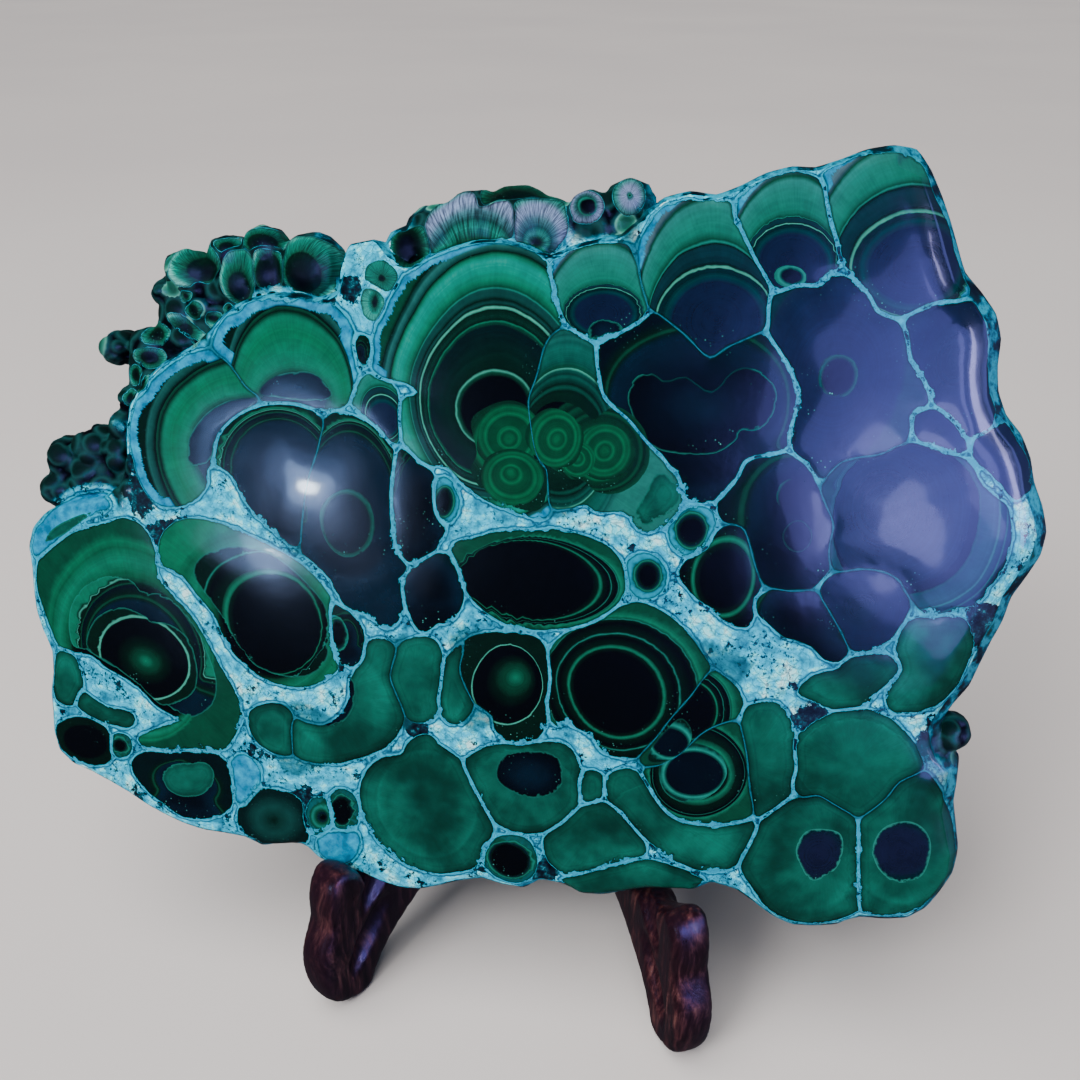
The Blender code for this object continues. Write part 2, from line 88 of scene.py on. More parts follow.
# Kinds of nodule, by the run of their rings from the middle outwards.
(FAN, NAVY, DISC, EYE, PLAIN, LILAC, OVAL, BLUE, GLOW, CRUST, DOME, BUMP, CORE, BROAD, CREST, RINGLET, LOBE,
 HALO, DUSK, SPOT, WEDGE) = range(21)
RINGS = {
    FAN: [
        (0, BLACK), (0.17, BLACK), (0.19, DEEP_GREEN), (0.198, LINE_GREEN), (0.206, DARK_GREEN),
        (0.25, (0.0, 0.012, 0.008)), (0.38, (0.0006, 0.007, 0.009)), (0.395, DEEP_GREEN), (0.402, GREEN),
        (0.409, DARK_GREEN), (0.44, (0.0, 0.022, 0.014)), (0.485, DARK_GREEN), (0.495, LINE_GREEN),
        (0.503, LINE_GREEN), (0.512, DARK_GREEN), (0.53, SLATE), (0.545, DARK_GREEN), (0.57, SLATE),
        (0.6, SLATE), (0.608, GREY_GREEN), (0.616, DEEP_GREEN), (0.66, GREEN),
        (0.74, (0.002, 0.200, 0.150)), (0.79, (0.004, 0.215, 0.170)), (0.825, GREEN), (0.84, DEEP_GREEN),
        (0.85, DARK_GREEN), (0.87, SLATE), (0.92, (0.010, 0.110, 0.105)), (0.94, SLATE), (0.97, DARK_GREEN),
        (1, DEEP_GREEN)],
    NAVY: [
        (0, BLACK), (0.3, NAVY_DEEP), (0.6, NAVY_BLUE), (0.65, DARK_GREEN), (0.68, DEEP_GREEN),
        (0.72, DARK_GREEN), (0.85, NAVY_DEEP), (0.88, DEEP_GREEN), (0.9, DARK_GREEN), (0.935, DARK_GREEN),
        (0.945, LINE_GREEN), (0.952, DARK_GREEN), (0.97, GREEN), (1, DARK_GREEN)],
    DISC: [
        (0, BLACK), (0.5, BLACK), (0.58, DARK_GREEN), (0.62, GREEN), (0.66, DARK_GREEN), (0.76, BLACK),
        (0.79, DARK_GREEN), (0.8, GREY_GREEN), (0.81, DARK_GREEN), (0.87, BLACK), (0.893, DARK_GREEN),
        (0.9, GREY_GREEN), (0.907, DEEP_GREEN), (0.93, GREEN), (1, DEEP_GREEN)],
    EYE: [
        (0, (0.000, 0.075, 0.030)), (0.07, (0.000, 0.039, 0.017)), (0.12, (0.000, 0.099, 0.039)),
        (0.17, (0.000, 0.045, 0.019)), (0.30, (0.000, 0.038, 0.017)), (0.35, (0.000, 0.105, 0.042)),
        (0.40, (0.000, 0.054, 0.022)), (0.45, (0.000, 0.081, 0.033)), (0.5, (0.000, 0.027, 0.012)),
        (0.62, (0.000, 0.017, 0.009)), (0.66, (0.000, 0.048, 0.022)), (0.70, (0.000, 0.012, 0.006)),
        (0.80, (0.000, 0.042, 0.021)), (0.84, (0.000, 0.009, 0.005)), (0.93, (0.000, 0.036, 0.018)),
        (0.96, BLACK), (1, BLACK)],
    PLAIN: [
        (0, (0.0, 0.062, 0.044)), (0.5, (0.0, 0.065, 0.045)), (0.8, (0.0, 0.085, 0.060)),
        (0.9, (0.0, 0.060, 0.042)), (1, (0.0, 0.070, 0.050))],
    LILAC: [
        (0, NAVY_BLUE), (0.5, (0.002, 0.010, 0.032)), (0.6, NAVY_DEEP), (0.62, (0.001, 0.050, 0.060)),
        (0.64, (0.003, 0.035, 0.060)), (0.76, (0.004, 0.045, 0.070)), (0.785, (0.003, 0.030, 0.050)),
        (0.8, (0.006, 0.120, 0.130)), (0.812, (0.003, 0.035, 0.060)), (0.87, SLATE_BLUE),
        (0.885, (0.004, 0.090, 0.100)), (0.9, SLATE_BLUE), (1, (0.004, 0.030, 0.045))],
    OVAL: [
        (0, BLACK), (0.55, BLACK), (0.64, DARK_GREEN), (0.72, NAVY_BLUE), (0.78, DEEP_GREEN),
        (0.84, GREY_GREEN), (0.88, DEEP_GREEN), (1, AQUA)],
    BLUE: [(0, AQUA), (1, AQUA)],
    GLOW: [
        (0, GREEN), (0.12, DEEP_GREEN), (0.3, DARK_GREEN), (0.5, BLACK), (0.77, BLACK), (0.79, DARK_GREEN),
        (0.8, LINE_GREEN), (0.82, LINE_GREEN), (0.835, DARK_GREEN), (1, DARK_GREEN)],
    CRUST: [(0, DARK_GREEN), (0.5, SLATE), (1, BLACK)],
    DOME: [
        (0, BLACK), (0.35, DARK_GREEN), (0.45, DARK_GREEN), (0.5, DEEP_GREEN), (0.66, (0.0, 0.080, 0.054)),
        (0.8, (0.0, 0.140, 0.104)), (0.92, (0.020, 0.250, 0.205)), (1, (0.10, 0.42, 0.38))],
    # The pale lavender band of the bumps is partly their pale fibres and partly a painted highlight.
    BUMP: [
        (0, BLACK), (0.12, DARK_GREEN), (0.2, DEEP_GREEN), (0.32, GREY_GREEN), (0.42, SLATE),
        (0.55, (0.03, 0.10, 0.13)), (0.68, PALE_FIBRE_AND_PAINTED_HIGHLIGHT), (0.8, PALE_FIBRE_AND_PAINTED_HIGHLIGHT), (0.9, (0.03, 0.16, 0.17)), (1, GREY_GREEN)],
    CORE: [(0, NAVY_BLUE), (0.5, NAVY_DEEP), (1, BLACK)],
    BROAD: [
        (0, BLACK), (0.3, NAVY_DEEP), (0.45, DARK_GREEN), (0.5, DEEP_GREEN), (0.62, GREEN),
        (0.74, (0.0, 0.115, 0.055)), (0.82, GREEN), (0.845, DEEP_GREEN), (0.86, DARK_GREEN),
        (0.885, DEEP_GREEN), (0.895, BLACK), (0.905, DARK_GREEN), (0.93, SLATE),
        (0.96, (0.006, 0.075, 0.068)), (0.975, DARK_GREEN), (1, DARK_GREEN)],
    # The grey-blue outer bands of these fans are partly their own grey banding and partly a painted
    # reflection of a lavender haze.
    CREST: [
        (0, (0.0025, 0.007, 0.026)), (0.36, (0.0025, 0.008, 0.028)), (0.415, (0.0, 0.030, 0.034)),
        (0.45, (0.0, 0.012, 0.014)), (0.488, (0.0, 0.012, 0.014)), (0.496, LINE_GREEN), (0.503, LINE_GREEN),
        (0.512, DARK_GREEN), (0.53, (0.002, 0.018, 0.024)), (0.585, (0.003, 0.022, 0.030)),
        (0.598, DARK_GREEN), (0.606, GREY_GREEN), (0.616, DEEP_GREEN), (0.66, (0.003, 0.125, 0.088)),
        (0.76, (0.008, 0.150, 0.120)), (0.82, (0.014, 0.160, 0.145)), (0.845, DEEP_GREEN),
        (0.87, (0.010, 0.045, 0.060)), (0.91, (0.045, 0.095, 0.125)), (0.95, (0.05, 0.12, 0.16)),
        (1, (0.01, 0.08, 0.12))],
    RINGLET: [
        (0, NAVY_DEEP), (0.62, NAVY_DEEP), (0.70, (0.0, 0.055, 0.045)), (0.80, (0.008, 0.200, 0.160)),
        (0.88, (0.002, 0.120, 0.095)), (0.96, (0.0, 0.030, 0.024)), (1, DARK_GREEN)],
    HALO: [
        (0, BLACK), (0.68, BLACK), (0.80, (0.0, 0.030, 0.020)), (0.87, (0.0, 0.060, 0.042)),
        (0.93, (0.0, 0.022, 0.016)), (1, NAVY_DEEP)],
    WEDGE: [
        (0, (0.0, 0.022, 0.012)), (0.12, DARK_GREEN), (0.16, (0.0, 0.050, 0.034)), (0.2, DARK_GREEN),
        (0.26, (0.0, 0.030, 0.022)), (0.3, (0.0, 0.062, 0.046)), (0.33, (0.0, 0.026, 0.020)),
        (0.38, (0.0, 0.050, 0.038)), (0.41, LINE_GREEN), (0.42, DEEP_GREEN), (0.52, (0.0, 0.060, 0.046)),
        (0.7, (0.001, 0.085, 0.066)), (0.76, (0.001, 0.060, 0.050)), (0.82, (0.004, 0.090, 0.075)),
        (0.86, (0.002, 0.055, 0.048)), (1, (0.008, 0.120, 0.100))],
    DUSK: [
        (0, NAVY_BLUE), (0.4, (0.003, 0.009, 0.032)), (0.7, (0.003, 0.010, 0.034)),
        (0.9, (0.004, 0.013, 0.038)), (1, (0.003, 0.024, 0.036))],
    SPOT: [
        (0, (0.004, 0.006, 0.026)), (0.5, (0.003, 0.008, 0.026)), (0.85, (0.001, 0.010, 0.020)),
        (1, (0.0, 0.012, 0.018))],
    LOBE: [
        (0, BLACK), (0.58, BLACK), (0.62, DARK_GREEN), (0.65, DEEP_GREEN), (0.70, (0.0, 0.075, 0.036)),
        (0.80, GREEN), (0.90, (0.0, 0.075, 0.036)), (0.95, (0.0, 0.110, 0.055)), (1, DEEP_GREEN)],
}


def nodule(kind, seed, outline, inner=None, inner_radii=None, outer=None, outer_radii=None, rings=None):
    """A nodule cut open by the face: its outline, and two ellipses that its rings grow between."""
    points = np.array(outline, float)
    if inner is None:
        half = np.ptp(points, axis=0) / 2
        inner, inner_radii = points.mean(axis=0), half * 0.2
        outer, outer_radii = points.mean(axis=0), half
        rings = [(0, 0.2), (1, 0.9)]
    ellipses = [np.array(value, float) for value in (inner, inner_radii, outer, outer_radii)]
    return {"kind": kind, "seed": seed, "outline": points, "ellipses": ellipses, "rings": rings}


# Across and up the face, in millimetres.
CELLS = {
    "left_fan": nodule(BROAD, 0, [
        (-62, 63.5), (-64.5, 66), (-66, 70.5), (-66.5, 74.5), (-65.5, 79), (-63.5, 82.5), (-60, 86),
        (-56.5, 88), (-52.5, 89), (-49.5, 87), (-46.5, 83.5), (-44.5, 81.5), (-48.5, 79), (-51, 76),
        (-52, 71.5), (-54.5, 69.5), (-54.5, 67), (-57, 64.5), (-59.5, 63.5)],
        (-46.5, 72.5), (9.5, 9), (-46.5, 72.5), (18.5, 18.5),
        [(0, 0.5), (0.08, 0.62), (0.62, 0.85), (0.78, 0.93), (1, 1)]),
    "top_fan": nodule(BROAD, 0, [
        (-52.5, 88.5), (-51.5, 92), (-48, 95), (-44, 97), (-39.5, 97.5), (-34.5, 97), (-30.5, 94.5),
        (-28.5, 91), (-27, 87.5), (-27.5, 84), (-29, 82), (-31.5, 80.5), (-38, 81), (-43.5, 81.5),
        (-46.5, 83), (-49.5, 86.5)],
        (-38, 81.5), (7, 5), (-39, 82.5), (12, 16),
        [(0, 0.6), (0.15, 0.62), (0.66, 0.83), (0.84, 0.93), (1, 1)]),
    "hot_navy": nodule(NAVY, 0, [
        (-52, 71), (-51.5, 74), (-49.5, 76), (-47, 78), (-44.5, 79), (-40.5, 80), (-37, 79.5),
        (-34.5, 78), (-33.5, 76.5), (-34.5, 73), (-36, 68.5), (-37, 63), (-37.5, 58), (-40, 59),
        (-44.5, 62.5), (-47, 66), (-48.5, 69), (-50.5, 70.5)],
        (-39.5, 69), (3, 3), (-41, 68.5), (10.5, 11.5), [(0, 0.2), (0.72, 0.62), (0.86, 0.85), (1, 1)]),
    "drop_navy": nodule(NAVY, 0.2, [
        (-33.5, 76.5), (-31, 78.5), (-28, 78), (-24.5, 76.5), (-22, 74), (-22, 69.5), (-21.5, 64.5),
        (-20.5, 58.5), (-19, 56), (-20, 52.5), (-20.5, 48.5), (-22.5, 46), (-25.5, 48), (-29, 49),
        (-31.5, 53), (-34.5, 55.5), (-37.5, 58), (-37, 63), (-36, 68.5), (-34.5, 73)],
        (-30, 63), (5, 4.5), (-28.5, 65.5), (8.5, 13), [(0, 0.3), (0.8, 0.62), (0.92, 0.85), (1, 1)]),
    "corner_fan": nodule(CREST, 0, [
        (-27.5, 81), (-27.5, 83.5), (-26.5, 85), (-24.5, 85.5), (-22.5, 84.5), (-21.5, 82.5), (-21, 78.5),
        (-21.5, 76), (-23.5, 78), (-26, 80)],
        (-23, 79), (2.5, 2.5), (-23.5, 80), (4.5, 6), [(0, 0.4), (0.25, 0.5), (1, 0.78)]),
    "narrow_navy": nodule(NAVY, 0.6, [
        (-21, 73), (-19.5, 74.5), (-17.5, 73.5), (-16, 71.5), (-14.5, 68), (-13.5, 64), (-13.5, 62),
        (-15, 59), (-18.5, 56.5), (-20, 58.5), (-21, 64.5), (-21.5, 69.5)],
        (-17.5, 64.5), (2, 4), (-17.5, 65.5), (4, 9.5), [(0, 0.1), (0.9, 0.62), (1, 0.9)]),
    "great_fan": nodule(FAN, 0, [
        (-24, 85.5), (-24.5, 90), (-24, 94), (-23, 97.5), (-21, 101), (-17.5, 104), (-14, 105.5),
        (-9, 107), (-4.5, 107), (-0.5, 106), (1.5, 104), (3, 100.5), (4, 96.5), (2.5, 93), (1.5, 91),
        (0.5, 86.5), (-0.5, 83.5), (0.5, 79), (1.5, 75), (3, 73), (3.5, 69.5), (3.5, 66.5), (2, 65.5),
        (-2, 66.5), (-6, 68), (-9.5, 70.5), (-12, 73), (-14.5, 73.5), (-17, 73), (-19, 75), (-20, 79),
        (-19, 82), (-16.5, 82.5), (-17.5, 85), (-20.5, 86)],
        (-5.5, 82), (6, 6), (-5.5, 85.5), (18.5, 23.5),
        [(0, 0.2), (0.357, 0.4), (0.457, 0.5), (0.605, 0.62), (0.845, 0.85), (0.946, 0.96), (1, 1)]),
    "wedge_fan": nodule(WEDGE, 0.4, [
        (2.5, 93), (4.5, 94), (7, 93.5), (9, 91.5), (10, 88), (10.5, 85), (12, 83.5), (14.5, 82),
        (17, 80), (19.5, 78), (21.5, 75.5), (23.5, 72.5), (23.5, 69.5), (22, 67), (19, 65.5), (17.5, 68),
        (15.5, 68.5), (12, 68), (10, 69), (7.5, 68), (4.5, 67.5), (4, 69.5), (3.5, 73), (2.5, 74),
        (0.5, 77.5), (-0.5, 83.5), (1, 88.5)],
        (5, 77.5), (6.5, 7.5), (6, 78), (10, 17.5), [(0, 0.1), (1, 1)]),
    "small_fan": nodule(CREST, 0.15, [
        (2.5, 104.5), (5.5, 106.5), (9, 107.5), (12, 107), (13.5, 105), (15, 101.5), (16, 99.5),
        (16, 97.5), (13.5, 96), (11, 94.5), (8.5, 94), (6, 96), (4, 98), (3, 100.5)],
        (10.5, 97.5), (5.5, 4), (9.5, 98.5), (8.5, 11),
        [(0, 0.5), (0.06, 0.63), (0.78, 0.85), (0.9, 0.93), (1, 1)]),
    "white_fan": nodule(CREST, 0.55, [
        (17, 99.5), (16, 103), (15.5, 107), (16.5, 109.5), (18, 112), (20.5, 113), (24, 113.5),
        (27.5, 113), (29, 111.5), (30.5, 109), (32, 106), (34, 103.5), (35, 101.5), (34.5, 99),
        (34.5, 97), (33.5, 95.5), (31, 94.5), (28.5, 93.5), (26.5, 92), (25, 92.5), (22.5, 95),
        (20.5, 96.5), (18.5, 98)],
        (27, 97), (9, 7.5), (25, 100), (10.5, 16.5),
        [(0, 0.5), (0.345, 0.62), (0.86, 0.86), (0.93, 0.93), (1, 1)]),
    "ring_fan": nodule(CREST, 0.65, [
        (29, 111.5), (29, 113), (30.5, 115), (33, 116.5), (36, 117.5), (38.5, 117), (40.5, 116),
        (41.5, 114), (42.5, 111.5), (43.5, 108.5), (44, 106.5), (42.5, 105.5), (42, 103.5), (39, 102.5),
        (36.5, 101.5), (35.5, 102), (34, 104.5), (32.5, 107), (30.5, 109.5)],
        (38, 106), (6.5, 5.5), (36.5, 108.5), (8.5, 11),
        [(0, 0.5), (0.1, 0.62), (0.8, 0.86), (0.92, 0.95), (1, 1)]),
    "corner_lilac": nodule(CREST, 0.85, [
        (41.5, 116.5), (41.5, 118.5), (44, 120.5), (47, 121.5), (50.5, 122), (53, 121.5), (54.5, 120),
        (56, 116.5), (58.5, 112.5), (60, 108.5), (61.5, 105.5), (63, 103), (62, 101.5), (59.5, 101.5),
        (56.5, 101), (54, 100), (52.5, 99.5), (50.5, 100.5), (48.5, 103), (47, 105.5), (45, 107.5),
        (44.5, 109.5), (43, 112), (42, 114.5)],
        (54.5, 106.5), (8.5, 7.5), (51.5, 110), (11.5, 14.5),
        [(0, 0.5), (0.37, 0.606), (0.43, 0.65), (0.85, 0.84), (1, 0.97)]),
    "middle_lilac": nodule(DUSK, 0.1, [
        (35, 100.5), (36, 101.5), (37.5, 102.5), (39.5, 103), (42, 102.5), (42.5, 103.5), (44.5, 104),
        (46.5, 103), (48.5, 101.5), (49.5, 99), (52.5, 98), (54, 97), (55, 95), (55.5, 93), (57.5, 90.5),
        (58.5, 88.5), (58.5, 87), (56, 85.5), (56.5, 81.5), (55, 80.5), (53, 79), (50, 78.5),
        (47.5, 77.5), (45.5, 75.5), (44.5, 74.5), (42.5, 77), (41, 78.5), (39.5, 80.5), (40, 83),
        (40.5, 86), (39.5, 89), (38, 91.5), (36, 94), (35, 96)],
        (45.5, 89.5), (3.5, 3.5), (44.5, 90.5), (10.5, 15), [(0, 0.3), (0.8, 0.7), (1, 1)]),
    "right_lilac": nodule(DUSK, 0.3, [
        (54.5, 98), (56, 99.5), (58, 101), (60.5, 101.5), (62.5, 102), (64.5, 100.5), (66, 98),
        (67, 93.5), (67.5, 89.5), (68.5, 86.5), (67.5, 84), (65, 82.5), (63.5, 84), (61.5, 86),
        (60, 87.5), (59, 89.5), (57, 92), (55.5, 94), (55, 96)],
        (62, 93.5), (2.5, 3.5), (61.5, 92.5), (7, 11), [(0, 0.1), (1, 0.9)]),
    "small_lilac": nodule(DUSK, 0.5, [
        (58.2, 85.2), (60.2, 86), (62, 85.2), (63.6, 83.2), (64.4, 80.8), (63, 79.8), (60.2, 80.8),
        (58.2, 81.4), (58, 83.6)]),
    "edge_lilac": nodule(DUSK, 0.7, [
        (66, 82), (67.5, 83), (69.5, 84.5), (70.5, 84.5), (72.5, 81.5), (74.5, 79), (76, 75),
        (73.5, 73.5), (71.5, 75), (69, 77.5), (66.5, 79.5)]),
    "big_lilac": nodule(LILAC, 0.9, [
        (45.5, 74.5), (47.5, 77), (50, 78), (53.5, 79), (56.5, 80.5), (59, 81), (63, 79.5), (65, 77.5),
        (67, 74.5), (69.5, 72.5), (71.5, 71), (72.5, 67.5), (72, 64), (70.5, 61), (68.5, 57.5),
        (66, 55.5), (63, 55), (61, 57), (59, 59), (58, 60.5), (55, 61.5), (52, 61.5), (50, 61),
        (48, 61.5), (47, 64.5), (47.5, 67.5), (46, 70.5), (45, 73)],
        (54.5, 71), (7, 8), (60, 68), (14, 15),
        [(0, 0.3), (0.55, 0.62), (0.62, 0.7), (0.78, 0.8), (1, 1)]),
    "purple_disc": nodule(DUSK, 0.2, [
        (47.5, 59.5), (50, 61), (53, 61.5), (56, 61), (58, 59), (59, 56), (58, 52.5), (56, 50),
        (53.5, 48.5), (51.5, 49.5), (50, 52), (48.5, 55), (47.5, 57)],
        (53, 55.5), (1.5, 1.5), (53, 55), (6.5, 7), [(0, 0.1), (1, 0.7)]),
    "low_navy": nodule(NAVY, 0.8, [
        (38, 55.5), (40.5, 57), (43.5, 57.5), (46, 57), (47.5, 55.5), (49, 53.5), (50.5, 51), (51, 48.5),
        (50, 47), (48.5, 47), (46.5, 49), (44, 50), (42, 50.5), (39.5, 52.5), (38, 54)],
        (44, 53.5), (1.5, 1.5), (44, 53), (7, 6.5), [(0, 0.1), (1, 0.7)]),
    "net_navy": nodule(NAVY, 0.45, [
        (33.5, 76.5), (36, 77.5), (38.5, 78), (40, 77), (41.5, 76.5), (43, 75), (44, 72.5), (45, 70.5),
        (46.5, 68), (47, 63.5), (47.5, 61), (46.5, 59.5), (44.5, 58), (42, 57.5), (39.5, 58.5),
        (37.5, 59), (36, 61), (35, 63.5), (34, 66), (32.5, 67), (30.5, 68), (30, 70), (30.5, 71.5),
        (32, 74)], (41.5, 70), (4, 4.5), (40, 68.5), (9.5, 11), [(0, 0.3), (0.5, 0.62), (1, 0.8)]),
    "inner_navy": nodule(DISC, 0.3, [
        (29, 62.5), (30, 65), (32.5, 66), (34, 64.5), (35.5, 62), (37, 58.5), (36, 56), (36, 53.5),
        (35.5, 51.5), (33, 52), (30.5, 54), (28, 55.5), (26.5, 57), (25.5, 58.5), (26.5, 60.5),
        (27.5, 61.5)], (31.5, 58), (1.5, 1.5), (31.5, 58.5), (6, 8), [(0, 0.3), (1, 0.75)]),
    "oval_high": nodule(OVAL, 0.15, [
        (24.2, 63.2), (23.6, 65.6), (24.8, 67.6), (26.6, 68.8), (28.2, 67.8), (28.6, 66), (27.8, 63.6),
        (26.2, 62.2)], (26, 65.5), (1.5, 1.5), (26, 65.5), (2.5, 3.5), [(0, 0.5), (1, 1)]),
    "oval_low": nodule(OVAL, 0.4, [
        (17.6, 57), (17.6, 59.2), (19.2, 60.4), (21, 59.8), (22, 57.8), (21.6, 55.6), (19.8, 54.4),
        (18.2, 55.2)], (20, 57.5), (1, 1.5), (20, 57.5), (2.5, 3), [(0, 0.5), (1, 1)]),
    "oval_sliver": nodule(OVAL, 0.9, [
        (-15, 67), (-14.6, 69.2), (-13.4, 70.2), (-12, 69), (-11.4, 66.8), (-12, 64.6), (-13.4, 64),
        (-14.6, 65.2)], (-13, 67), (0.5, 1.5), (-13, 67), (2, 3), [(0, 0.5), (1, 1)]),
    "dark_heart": nodule(NAVY, 0.05, [
        (16.5, 96.5), (18, 97.5), (20.5, 96), (23.5, 94), (26, 92), (27, 91.5), (29.5, 93), (31.5, 94),
        (33.5, 95), (35, 94), (37, 91.5), (39, 88.5), (40, 86), (39.5, 82.5), (39, 79.5), (37, 78),
        (34, 77.5), (32.5, 76.5), (31.5, 73.5), (29.5, 71.5), (27, 70.5), (25, 71.5), (24, 74.5),
        (23.5, 75.5), (22.5, 75.5), (21, 77), (18.5, 78.5), (15.5, 81.5), (12.5, 83.5), (11, 85),
        (10, 88), (10, 90.5), (11, 92.5), (13.5, 94), (15, 95)],
        (25, 83.5), (8, 5.5), (25, 85), (15.5, 13), [(0, 0.3), (0.7, 0.62), (1, 0.85)]),
    "left_green": nodule(LOBE, 0.35, [
        (-85, 50), (-83.5, 52.5), (-79.5, 55.5), (-74, 57.5), (-68, 58.5), (-65, 57), (-63.5, 53.5),
        (-63, 49), (-60.5, 46), (-57.5, 43), (-55, 39), (-52.5, 34.5), (-50, 30.5), (-48.5, 26.5),
        (-50, 22.5), (-52.5, 20), (-58.5, 19.5), (-64, 18.5), (-67.5, 19), (-63, 21.5), (-58.5, 23.5),
        (-60.5, 25), (-64, 26.5), (-66, 28.5), (-69.5, 31), (-73.5, 33), (-76, 35), (-79.5, 35.5),
        (-82, 36), (-84, 41), (-85.5, 46)],
        (-67.5, 35), (12.5, 13), (-69, 37.5), (16, 19), [(0, 0.62), (1, 1)]),
    "blue_crescent": nodule(BLUE, 0.1, [
        (-86, 52), (-85.5, 55.5), (-83, 59), (-79, 61.5), (-74.5, 62.5), (-71.5, 62), (-71.5, 60.5),
        (-76, 58.5), (-80, 56), (-84, 53)]),
    "olive_green": nodule(LOBE, 0.15, [
        (-61, 52.5), (-61, 56), (-59.5, 58.5), (-57, 60), (-53.5, 60), (-49.5, 59), (-46, 57.5),
        (-42.5, 56), (-39, 54.5), (-36, 52.5), (-33.5, 50), (-32, 47.5), (-31.5, 42), (-31, 37.5),
        (-32.5, 35.5), (-36, 33.5), (-40, 33.5), (-43.5, 34.5), (-46, 36), (-49, 38.5), (-50.5, 41),
        (-52, 44.5), (-55, 48), (-56.5, 50), (-59, 51.5)],
        (-42.5, 43.5), (9, 9.5), (-44.5, 45), (15, 15.5), [(0, 0.62), (1, 0.95)]),
    "teardrop_cell": nodule(NAVY, 0.3, [
        (-32, 47.5), (-30, 47), (-27.5, 45), (-26.5, 41.5), (-26.5, 39), (-28, 38), (-30.5, 38.5),
        (-31.5, 42)]),
    "hook_green": nodule(PLAIN, 0.4, [
        (-26.5, 36.5), (-25.5, 39.5), (-25, 41.5), (-23, 42.5), (-21, 41), (-21, 38.5), (-21.5, 36),
        (-20.5, 33.5), (-19.5, 30.5), (-20.5, 27), (-23, 24), (-26.5, 22), (-31, 20), (-34.5, 19.5),
        (-37.5, 20), (-38.5, 22.5), (-38, 25.5), (-36, 25), (-32.5, 25), (-29, 28), (-27.5, 31.5),
        (-27.5, 34)], (-31.5, 30.5), (4, 4), (-30, 30.5), (9.5, 10), [(0, 0.3), (1, 0.9)]),
    "soft_green": nodule(PLAIN, 0.1, [
        (-20.5, 40), (-19, 42.5), (-16.5, 43.5), (-14.5, 43), (-13.5, 40.5), (-13, 38), (-13.5, 34),
        (-13.5, 31.5), (-15, 30), (-17, 29.5), (-18.5, 30.5), (-20, 33.5), (-21, 37)],
        (-17, 37.5), (1.5, 2), (-17, 36.5), (4, 7), [(0, 0.2), (1, 0.8)]),
    "leaf_green": nodule(PLAIN, 0.7, [
        (-45.6, 24.8), (-45, 27.2), (-41.8, 28.4), (-39.6, 27.4), (-38.8, 24.4), (-38.8, 21.8),
        (-39.8, 20.2), (-42.4, 20.6), (-44.6, 22.2)],
        (-42.5, 22.5), (1, 1), (-42, 24), (3, 4), [(0, 0.3), (1, 0.9)]),
    "black_bean": nodule(DISC, 0.25, [
        (-10.5, 59.5), (-7.5, 60.5), (-4, 61.5), (2.5, 62), (5.5, 62.5), (9.5, 62), (13, 61), (15, 59),
        (16, 56), (15, 53), (12.5, 50.5), (9.5, 49), (6.5, 48.5), (3, 48), (-2, 48.5), (-5.5, 50),
        (-8, 52), (-9.5, 54.5), (-10.5, 57)],
        (0.5, 55), (11, 6), (3.5, 55), (13.5, 7),
        [(0, 0.5), (0.25, 0.62), (0.55, 0.8), (0.75, 0.9), (1, 1)]),
    "glow_block": nodule(GLOW, 0.25, [
        (-9, 43.5), (-6, 45), (-2, 45.5), (2.5, 45), (4, 43), (5, 39.5), (4.5, 36), (4, 34.5), (4, 31),
        (2.5, 28.5), (-0.5, 28), (-2.5, 29.5), (-3, 32), (-5.5, 34), (-7, 35), (-8.5, 37.5), (-9.5, 40)],
        (-0.5, 38.5), (2.5, 2.5), (-2, 37), (6.5, 8), [(0, 0.2), (0.8, 0.8), (1, 1)]),
    "glow_block_side": nodule(PLAIN, 0.5, [
        (-12, 39.5), (-11, 41.5), (-9.5, 43), (-10, 40), (-9.5, 37.5), (-8, 34.5), (-8, 32.5),
        (-9.5, 30.5), (-11, 30.5), (-12, 32.5), (-12, 36)]),
    "great_disc": nodule(DISC, 0.6, [
        (5.5, 37.5), (5.5, 42), (7, 45), (9.5, 47), (13.5, 49), (18, 52), (21.5, 51.5), (25.5, 49),
        (28.5, 45.5), (30.5, 42.5), (29.5, 40.5), (27.5, 37.5), (25, 34), (23, 30.5), (20.5, 28),
        (18, 27.5), (15, 28), (12.5, 30.5), (9.5, 31.5), (8, 33), (6.5, 31.5), (5.5, 34.5)],
        (16, 37.5), (6.5, 6.5), (17, 38), (14, 13.5),
        [(0, 0.45), (0.17, 0.62), (0.476, 0.8), (0.83, 0.9), (1, 1)]),
    "loop_cell": nodule(DISC, 0.85, [
        (30.5, 42), (32.5, 41.5), (35, 39.5), (36, 37), (35.5, 35.5), (32.5, 34), (30, 32), (28, 29),
        (25.5, 26.5), (23, 26), (21.5, 27.5), (23.5, 31.5), (26.5, 36), (28.5, 38.5)],
        (28, 36), (3, 3.5), (29, 36), (7, 7.5), [(0, 0.3), (0.55, 0.8), (1, 1)]),
    "ring_cell": nodule(DISC, 0.35, [
        (35.5, 34.5), (37, 32), (38, 27.5), (38.5, 22.5), (39, 18.5), (36.5, 16.5), (32.5, 16),
        (28, 16.5), (25.5, 19), (23.5, 22), (22.5, 24.5), (25, 26.5), (27.5, 28.5), (30, 31.5),
        (32.5, 33.5)],
        (30.5, 25), (5, 5), (30.5, 25.5), (8, 9), [(0, 0.62), (0.6, 0.7), (0.8, 0.85), (1, 1)]),
    "teal_strip": nodule(PLAIN, 0.9, [
        (37, 35.5), (38.5, 37), (41, 37.5), (43, 36), (44.5, 32.5), (45, 28.5), (45, 24), (44.5, 22),
